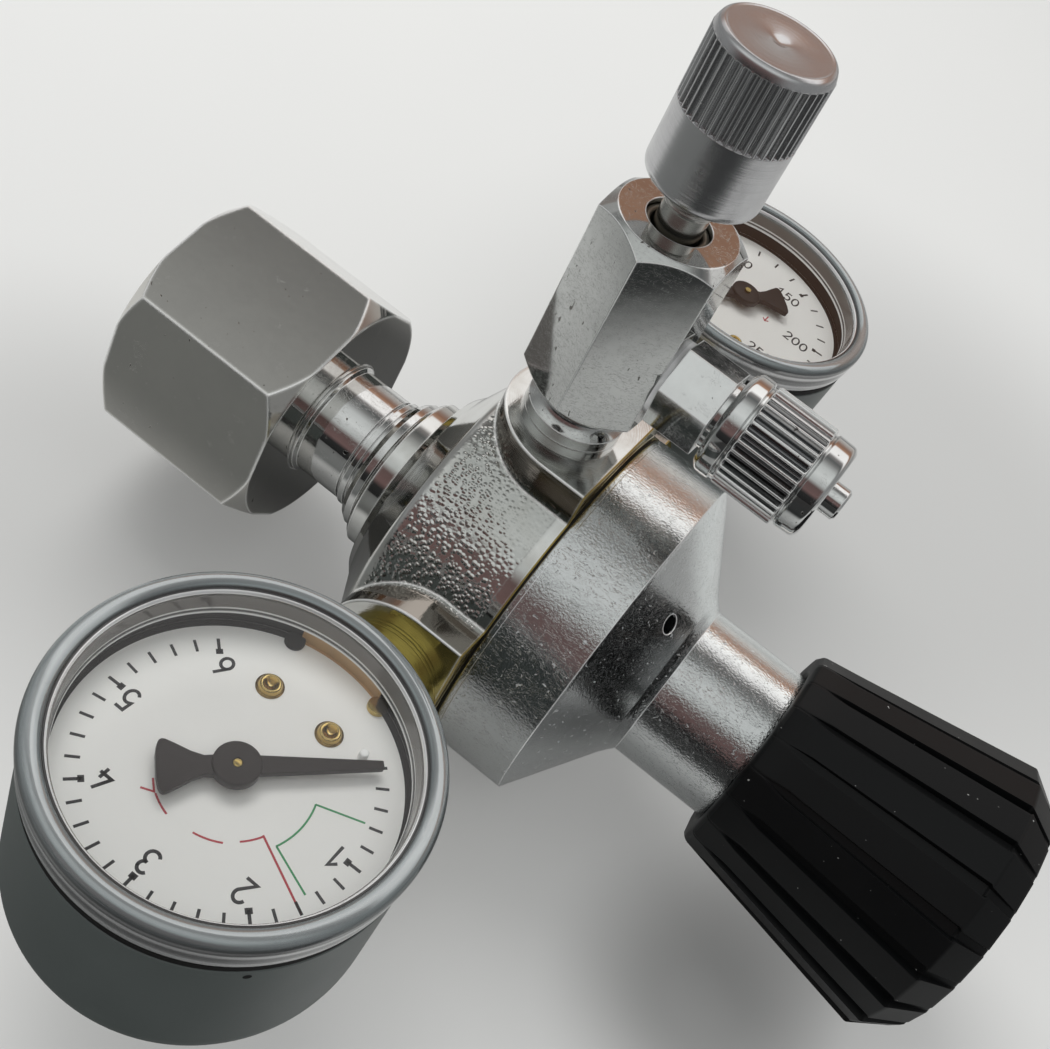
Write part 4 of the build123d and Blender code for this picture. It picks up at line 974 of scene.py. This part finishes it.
# ---- springs, and a diaphragm in two pieces on two bodies --------------------------------
def coil(start, end, mean, wire, turns):
    """Round wire wound between two places along the axis, with a flat turn at each end."""
    steps, sides, dead = 28, 12, 0.8  # dead: the part of a turn that lies flat at each end
    rings = []
    for step in range(int((turns + 2 * dead) * steps) + 1):
        turn = step / steps
        rise = min(1.0, max(0.0, (turn - dead) / turns))
        flat = min(turn, dead) + max(0.0, turn - dead - turns)
        along = start + wire * (1 + 2 * flat) + (end - start - wire * 5.2) * rise
        ring = []
        for k in range(sides):
            spin = 2 * math.pi * k / sides
            reach = mean + wire * math.cos(spin)
            ring.append(around(reach, 2 * math.pi * turn, along + wire * math.sin(spin)))
        rings.append(ring)
    caps = []
    for ring in (rings[0], rings[-1]):
        caps.append([tuple(sum(point[i] for point in ring) / sides for i in range(3))])
    return skin([caps[0], *rings, caps[1]])


def spring(node, body, mean, wire, turns):
    """A coil between the ends of the node's box, in place of the node."""
    low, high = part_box(node)
    shape = coil(low.x / MM, high.x / MM, mean, wire, turns)
    between = ("regulator", body, (low.x, 0, 0), (high.x, 0, 0))
    make(node + "_coil", shape, main_axis, finish["steel"], between, [node])


spring("main_spring", "button", 6.8, 1.0, 5)
spring("poppet_spring", "shutter", 2.6, 0.25, 4)

held = rounded(
    [
        (62.8, 12.2),
        (62.8, 24.2, 0.05),
        (63.4, 24.2, 0.05),
        (63.4, 12.2, 0.1),
        (63.1, 11.9, 0.2),
        (62.8, 12.2),
    ]
)
make(
    "diaphragm_rim", turned(held, 128), main_axis, finish["rubber"], "regulator", ["diaphragm"]
)
carried = rounded(
    [
        (62.8, 2.0),
        (62.8, 11.2, 0.1),
        (63.1, 11.7, 0.3),
        (63.4, 11.2, 0.1),
        (63.4, 2.0),
        (62.8, 2.0),
    ]
)
make("diaphragm_middle", turned(carried, 96), main_axis, finish["rubber"], "diaphragm_group")


# ---- needle, gland and the nut's thread --------------------------------------------------
def threaded(low, high, crest, root, pitch, segments=40, inside=False):
    """Rings of a helical thread that fades out at both ends."""
    steps = 6
    count = int((high - low) / pitch * steps)
    rings = []
    for row in range(count + 1):
        along = low + (high - low) * row / count
        fade = min(1.0, (along - low) / pitch, (high - along) / pitch)
        ring = []
        for k in range(segments):
            wave = 1 - abs((along / pitch - k / segments) % 1.0 * 2 - 1)
            cut = wave if inside else 1 - wave
            radius = crest + (root - crest) * cut * fade
            ring.append(around(radius, 2 * math.pi * k / segments, along))
        rings.append(ring)
    return rings


needle_tip = rounded([(38.6, 0.05), (41.8, 1.95, 0.1), (48.0, 2.0, 0.1), (48.7, 2.6)])
needle_rings = [[(0.0, 0.0, 38.5)]]
needle_rings += [plain_ring(along, radius, 40) for along, radius in needle_tip]
needle_rings += [plain_ring(along, 2.78, 40) for along in (49.0, 59.2)]
needle_rings += threaded(59.3, 66.0, 2.95, 2.70, 0.55)
needle_rings += [[(0.0, 0.0, 66.2)]]
make(
    "needle_spindle",
    skin(needle_rings),
    valve_axis,
    finish["spindle"],
    "valve_needle",
    ["needle"],
    crease=50,
)

gland_profile = rounded(
    [
        (55.05, 3.0),
        (56.2, 3.0, 0.2),
        (56.5, 3.35, 0.15),
        (56.3, 3.84, 0.1),
        (55.05, 3.84),
        (55.05, 3.0),
    ]
)
make("valve_gland_ring", turned(gland_profile, 48), valve_axis, finish["gland"], "regulator")

nut_thread = threaded(0.4, 11.9, 9.89, 9.65, 1.814, 96, inside=True)
make("inlet_nut_thread", skin(nut_thread), main_axis, finish["nut"], "union_nut", crease=50)


# ---- knurled outlet nut ------------------------------------------------------------------
outlet_profile = rounded(
    [
        (84.2, 3.12),
        (84.2, 5.5, 0.25),
        (83.7, 6.1, 0.3),
        (81.5, 6.2, 0.1),
        (81.3, 5.95, 0.1),
        (81.1, 5.95, 0.1),
        (80.95, 6.5),
    ]
)
outlet_profile += [(80.8, 6.6), (77.0, 6.6), (73.1, 6.6)]
outlet_profile += rounded(
    [
        (72.95, 6.5),
        (72.8, 6.1, 0.1),
        (72.5, 6.1, 0.1),
        (72.4, 6.6, 0.15),
        (70.6, 6.6, 0.3),
        (69.9, 5.8, 0.25),
        (69.9, 4.46),
    ]
)
outlet_profile += [(70.4, 4.46), (79.9, 4.46), (79.9, 3.12), (84.2, 3.12)]
make(
    "outlet_nut_knurled",
    turned(outlet_profile, 320, teeth(32, 0.85, 73.0, 80.85, 0.5)),
    outlet_axis,
    finish["outlet"],
    "hose_nut",
    ["outlet_nut"],
    crease=30,
)


# ---- gauges ------------------------------------------------------------------------------
cut_start, cut_end = -106, -72  # angles of the cut in the dial's edge, over the socket
window_at = 20.9  # height of the clear window along the gauge's axis
zero_at = 225.0  # angle of the dial's zero


def case_profile():
    """Closed section of half the cup, from the middle of its back to the lip and down."""
    back, lip = -6.0, 16.75
    return rounded(
        [
            (back, 0.0),
            (back, 15.6, 0.3),
            (back + 0.9, 18.2, 1.8),
            (back + 3.6, 19.5, 2.6),
            (lip - 0.9, 19.5, 0.1),
            (lip - 0.8, 19.1, 0.1),
            (lip, 19.1, 0.1),
            (lip, 18.15, 0.1),
            (back + 2.0, 18.1, 0.5),
            (back + 1.4, 0.0),
        ],
        5,
    )


def rim_profile():
    """Closed section of the clear ring, with its beads and the step that holds the window."""
    return rounded(
        [
            (16.85, 17.95),
            (16.85, 19.3, 0.1),
            (17.5, 19.65, 0.2),
            (18.2, 19.75, 0.1),
            (20.6, 19.98, 0.1),
            (21.3, 19.9, 0.4),
            (21.85, 19.3, 0.5),
            (21.95, 18.7, 0.5),
            (21.75, 18.0, 0.3),
            (21.35, 17.75, 0.1),
            (21.4, 17.5, 0.1),
            (21.1, 17.35, 0.1),
            (20.4, 17.3, 0.1),
            (20.3, 17.9, 0.2),
            (16.85, 17.95),
        ]
    )


def skirt_profile():
    """Closed section of the ring's inner wall, with a bead round its lower edge."""
    return rounded(
        [
            (20.85, 17.34),
            (20.85, 17.2, 0.05),
            (18.6, 17.15, 0.1),
            (18.4, 16.98, 0.1),
            (18.15, 16.98, 0.1),
            (18.0, 17.15, 0.1),
            (18.0, 17.34, 0.05),
            (20.85, 17.34),
        ]
    )


def pointer_shape():
    """Pointer at the dial's zero, with a flared tail."""
    along = Vector(polar(1.0, zero_at))
    aside = Vector((-along.y, along.x))
    blade = [(14.5, 0.42), (14.2, 0.46), (2.0, 1.0), (-2.4, 1.05), (-3.0, 1.0)]
    tail = [(-4.2, 1.45), (-5.6, 2.25), (-6.5, 2.72), (-6.85, 2.78), (-7.12, 2.62)]
    right = blade + tail + [(-7.3, 2.2), (-7.45, 1.2)]
    outline = [along * u + aside * v for u, v in right]
    outline += [along * u - aside * v for u, v in reversed(right)]
    return slab([[tuple(point) for point in outline]], 16.8, 17.6)


def band(inner, outer, start, end, low, high, step=2):
    """Part of a flat ring between two angles and two heights."""
    turns = range(start, end + 1, step)
    outline = [polar(outer, angle) for angle in turns]
    outline += [polar(inner, angle) for angle in reversed(turns)]
    return slab([outline], low, high)


def dial_plate():
    """Dial with a shallow cut in its edge over the socket."""
    edge = [polar(18.05, angle) for angle in range(cut_end + 2, cut_start + 358, 2)]
    cut = [polar(17.25, angle) for angle in range(cut_start, cut_end + 1, 2)]
    return slab([edge + cut], dial_top - dial_thick, dial_top)


def hub_shape():
    """Flat boss of the pointer, with the bore for its pin."""
    return turned(rounded([(16.9, 0.55), (16.9, 2.4, 0.1), (17.95, 2.4, 0.25), (18.0, 0.55)]), 48)


def rivets():
    """Two domed brass rivets with a conical dimple."""
    dome = rounded(
        [
            (15.6, 1.5),
            (15.9, 1.5, 0.05),
            (15.95, 1.3, 0.1),
            (16.5, 1.1, 0.25),
            (16.5, 0.8, 0.15),
            (15.9, 0.0),
        ]
    )
    shapes = []
    for angle in (-111.0, -68.6):
        verts, faces = turned(dome, 36)
        x, y = polar(10.75, angle)
        shapes.append(([(vx + x, vy + y, vz) for vx, vy, vz in verts], faces))
    return shapes


def tick_marks(count, step, turn, outer, inner, every, foot):
    """Ticks from zero round the scale, each main one with a square foot."""
    outlines = []
    for index in range(count + 1):
        angle = zero_at - step * index + turn
        if index % every:
            outlines += spoke(angle, inner, outer, 0.30)
        else:
            outlines += spoke(angle, inner - 0.25, outer, 0.33)
            outlines += spoke(angle, inner - 0.45, inner + 0.15, foot)
    return outlines


print_low, print_high = dial_top + 0.002, dial_top + 0.022

low_numbers = {
    "1": (12.7, 181),
    "2": (12.0, 136),
    "3": (12.0, 92.5),
    "4": (12.0, 48),
    "5": (12.4, 5),
    "6": (12.0, -44),
}
low_black = tick_marks(30, 9.0, 2.1, 15.4, 14.0, 5, 0.72)
for text, at in low_numbers.items():
    low_black += number(text, polar(*at), 2.45, 0.34)
low_green = stroke(arc(0, 0, 8.4, 8.4, 159.5, 201.5), 0.2)
low_green += spoke(201.3, 8.4, 13.5, 0.2) + spoke(159.8, 8.4, 13.8, 0.2)
low_red = spoke(155.0, 6.9, 15.3, 0.22) + stroke(arc(0, 0, 7.0, 7.2, 155, 137), 0.2)
low_red += stroke(arc(0, 0, 7.3, 7.3, 124, 101), 0.2) + stroke(arc(0, 0, 7.4, 7.6, 78, 60), 0.2)
low_red += stroke([(5.1, 7.1), (3.9, 6.55), (4.95, 5.6)], 0.2)

high_numbers = {"50": 171, "100": 117, "150": 63, "200": 5, "250": -45}
high_black = tick_marks(20, 13.5, 0.0, 15.4, 14.0, 4, 0.72)
for text, angle in high_numbers.items():
    high_black += number(text, polar(10.7, angle), 1.95, 0.27)
high_red = stroke([(4.9, 0.0), (4.9, 1.5)], 0.2)
high_red += stroke([(4.4, 0.5), (4.9, 0.0), (5.4, 0.5)], 0.2)

prints = {
    "low": {"black": low_black, "green": low_green, "red": low_red},
    "high": {"black": high_black, "red": high_red},
}


def fixed(side, name, shape, material, replaces=(), **settings):
    """A piece of a gauge that stays with the regulator."""
    where, paint = gauges[side], finish[material]
    make(f"{side}_{name}", shape, where, paint, "regulator", replaces, **settings)


for side, where in gauges.items():
    fixed(side, "case_shell", turned(case_profile(), 128), "case", [f"{side}_case"])
    fixed(side, "rim", turned(rim_profile(), 160), "rim", [f"{side}_lens_ring"], crease=40)
    fixed(side, "dial_plate", dial_plate(), "enamel", [f"{side}_dial"])
    foot = band(16.9, 17.77, cut_start, cut_end, dial_top - 0.3, dial_top - 0.02)
    wall = band(17.6, 17.77, cut_start, cut_end, dial_top - 0.1, 20.2)
    fixed(side, "cut_strip", foot, "strip", join=[wall])
    # A black sheet inside the case wall paints its shade.
    wall_shade = [(15.85, 17.87), (20.25, 17.87), (20.25, 17.8), (15.85, 17.8), (15.85, 17.87)]
    fixed(side, "case_wall_shade", turned(wall_shade, 128), "dark")
    # The dark stud is black stock that paints the shade of a notch; the other is brass.
    for end, angle in (("dark", -70.5), ("movement", -108.5)):
        stud = rounded([(dial_top, 1.1), (dial_top + 0.5, 1.1, 0.15), (dial_top + 0.55, 0.0)])
        at = where @ Matrix.Translation((*polar(17.0, angle), 0))
        make(f"{side}_{end}_stud", turned(stud, 24), at, finish[end], "regulator")
    # A black ring under the clear ring's lower edge paints the shadow there.
    gap = [(15.95, 19.12), (16.1, 19.44), (16.8, 19.44), (16.82, 18.6)]
    fixed(side, "case_gap", turned(gap, 128), "dark")
    fixed(side, "rim_skirt", turned(skirt_profile(), 128), "skirt")
    # A black band round the dial's edge paints the shade between dial and case.
    edge_shade = band(17.0, 17.78, cut_end, cut_start + 360, dial_top - 0.05, dial_top + 0.05)
    fixed(side, "dial_edge_shade", edge_shade, "dark")
    fixed(side, "window", turned([(window_at, 0.0), (window_at, 17.35)], 96), "window")
    needle_body = f"{side}_needle"
    make(
        f"{side}_pointer_blade",
        pointer_shape(),
        where,
        finish["pointer"],
        needle_body,
        [f"{side}_pointer"],
        bevel=0.08,
    )
    make(f"{side}_pointer_hub", hub_shape(), where, finish["pointer"], needle_body)
    pin_end = turned(rounded([(17.5, 0.55), (18.02, 0.5, 0.15), (18.1, 0.0)]), 24)
    make(f"{side}_pin_end", pin_end, where, finish["movement"], needle_body)
    for index, shape in enumerate(rivets()):
        stands_for = [] if index else [f"{side}_dial_screws"]
        fixed(side, f"dial_rivet_{index + 1}", shape, "rivet", stands_for)
    for colour, outlines in prints[side].items():
        fixed(side, f"dial_{colour}", slab(outlines, print_low, print_high), colour, crease=60)

# The vent is a black disc that paints the shade in its hole.
vent = turned([(0.05, 0.0), (0.05, 0.42)], 24)
vent_out = Vector((*polar(-1.0, 135.5), 0.0))
vent_level = Vector((low_stem.x, low_stem.y, 14.9 + low_lift))
vent_place = place(vent_level + vent_out * 19.46, vent_out, (0, 0, 1))
make("low_case_vent", vent, vent_place, finish["dark"], "regulator")

peg = turned(rounded([(15.7, 0.5), (16.9, 0.5, 0.2), (16.95, 0.0)]), 24)
for side, where in gauges.items():
    at = where @ Matrix.Translation((-7.9, -10.35, 0))
    make(f"{side}_stop_peg", peg, at, finish["peg"], "regulator")


# ---- floor, light and camera -------------------------------------------------------------
def studio_floor():
    """Pale table under the part with painted shadows close to it, and a painted darker room for
    shiny metal to mirror.
    """
    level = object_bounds()[0][2] - 0.0002  # just clear of the part
    reach = 2.5
    corners = [(-reach, -reach), (reach, -reach), (reach, reach), (-reach, reach)]
    mesh = bpy.data.meshes.new("floor")
    mesh.from_pydata([(x, y, level) for x, y in corners], [], [(0, 1, 2, 3)])
    floor = bpy.data.objects.new("floor", mesh)
    bpy.context.scene.collection.objects.link(floor)
    f = Finish("pale_table", Specular_IOR_Level=0.2)
    spot = f.spot()
    x, y, _ = f.parts(spot)
    drift = f.noise(spot, 0.012, 2.0)
    pale = f.blend(drift, rgb(0.665, 0.665, 0.65), rgb(0.645, 0.645, 0.635))
    painted_shadows = (  # painted shadows: share, middle x and y, outer and inner radius
        (0.42, 95.0, 100.0, 110.0, 30.0),
        (0.36, -2.0, -22.0, 55.0, 10.0),
        (0.8, 112.0, -19.0, 25.0, 5.0),
    )
    for share, middle_x, middle_y, outer, inner in painted_shadows:
        shadow_patch = f.step(f.away(x - middle_x, y - middle_y), outer, inner)
        pale = f.blend(share * shadow_patch, pale, rgb(0.285, 0.285, 0.28))
    # For glossy rays only, the floor is painted darker in front, far off and under the body:
    # painted shade for the metal to mirror.
    mirrored = f.rays("Glossy")
    aside = f.step(x, 48.0, 12.0)
    front = f.step(y - 34.0 * aside, -60.0, -88.0) * mirrored
    far = f.step(f.away(x - 60.0, y), 120.0, 260.0) * mirrored
    under = f.step(f.away(x - 38.0, y - 26.0), 42.0, 20.0) * f.step(x, 72.0, 60.0)
    shown = f.blend(0.5 * far, pale, grey(0.10))
    shown = f.blend(under * mirrored, shown, rgb(0.11, 0.112, 0.112))
    dark = f.blend(aside, rgb(0.03, 0.032, 0.032), rgb(0.18, 0.185, 0.18))
    f.put("Base Color", f.blend(front, shown, dark))
    f.put("Roughness", 0.6 + 0.05 * drift)
    # To the camera a fifth of the floor glows in its own colour: painted light that lifts the
    # shadows on it.
    glow = f.node("ShaderNodeEmission", {}, {"Color": pale, "Strength": 1.15})
    f.show(f.node("ShaderNodeMixShader", {}, {0: 0.2 * f.rays("Camera"), 1: f.solid(), 2: glow}))
    mesh.materials.append(f.material)


def studio_light():
    """A room in bands round the main axis for the metal to mirror, and even light for the rest."""
    world = bpy.data.worlds.new("studio")
    bpy.context.scene.world = world
    world.use_nodes = True
    net = Net(world.node_tree)
    x, y, z = net.parts(net.node("ShaderNodeTexCoord", out="Generated"))
    swing = z.sum("ARCTAN2", z, y * -1.0) / math.pi
    room = net.ramp(
        swing,
        (0.00, 0.02),
        (0.07, 0.03),
        (0.11, (0.19, 0.12, 0.115)),
        (0.20, (0.15, 0.10, 0.095)),
        (0.25, (0.58, 0.60, 0.59)),
        (0.34, (0.82, 0.84, 0.83)),
        (0.45, (0.66, 0.68, 0.67)),
        (0.525, (0.27, 0.27, 0.265)),
        (0.57, (0.14, 0.145, 0.145)),
        (0.62, (0.32, 0.30, 0.295)),
        (0.655, (1.3, 1.27, 1.25)),
        (0.775, (1.2, 1.17, 1.15)),
        (0.795, (0.52, 0.31, 0.215)),
        (0.84, (0.34, 0.19, 0.13)),
        (0.875, (0.36, 0.25, 0.21)),
        (0.93, (0.5, 0.46, 0.43)),
        (1.00, (0.60, 0.59, 0.57)),
    )
    aside = net.step(abs(x), 0.45, 0.95)
    mirrored = net.blend(aside, room, rgb(0.30, 0.305, 0.305))
    lit = net.blend(net.rays("Glossy"), rgb(0.74, 0.75, 0.755), mirrored)
    sky = net.blend(net.rays("Camera"), lit, rgb(0.86, 0.86, 0.85))
    background = world.node_tree.nodes["Background"]
    net.feed(background.inputs["Color"], sky)
    background.inputs["Strength"].default_value = 1.0


def soft_box(name, at, aim, size, power, tint):
    """Rectangular lamp that lights the part but isn't mirrored in it."""
    data = bpy.data.lights.new(name, "AREA")
    data.shape = "RECTANGLE"
    data.size, data.size_y = size
    data.energy = power
    data.color = tint
    lamp = bpy.data.objects.new(name, data)
    lamp.location = at
    lamp.rotation_euler = (Vector(aim) - Vector(at)).to_track_quat("-Z", "Y").to_euler()
    lamp.visible_glossy = False
    bpy.context.scene.collection.objects.link(lamp)


def front_camera():
    """Camera for the front view, from its right, up and back directions."""
    data = bpy.data.cameras.new("camera")
    camera = bpy.data.objects.new("camera", data)
    bpy.context.scene.collection.objects.link(camera)
    right = Vector((0.785, 0.498, 0.3684))
    up = Vector((-0.6072, 0.5008, 0.6169))
    back = Vector((0.1227, -0.708, 0.6955))
    turn = Matrix((right, up, back)).transposed().to_4x4()
    camera.matrix_world = Matrix.Translation((0.081545, -0.125107, 0.134394)) @ turn
    data.sensor_width = 36.0
    data.lens = 47.33
    data.shift_x = -0.0349
    data.shift_y = -0.0048
    data.clip_start = 0.005
    bpy.context.scene.camera = camera


studio_floor()
studio_light()
soft_box("key_light", (-0.32, 0.24, 0.58), (0.06, 0.0, 0.0), (0.5, 0.5), 3.3, (1.0, 0.99, 0.98))
front_camera()

scene = bpy.context.scene
scene.view_settings.view_transform = "Standard"
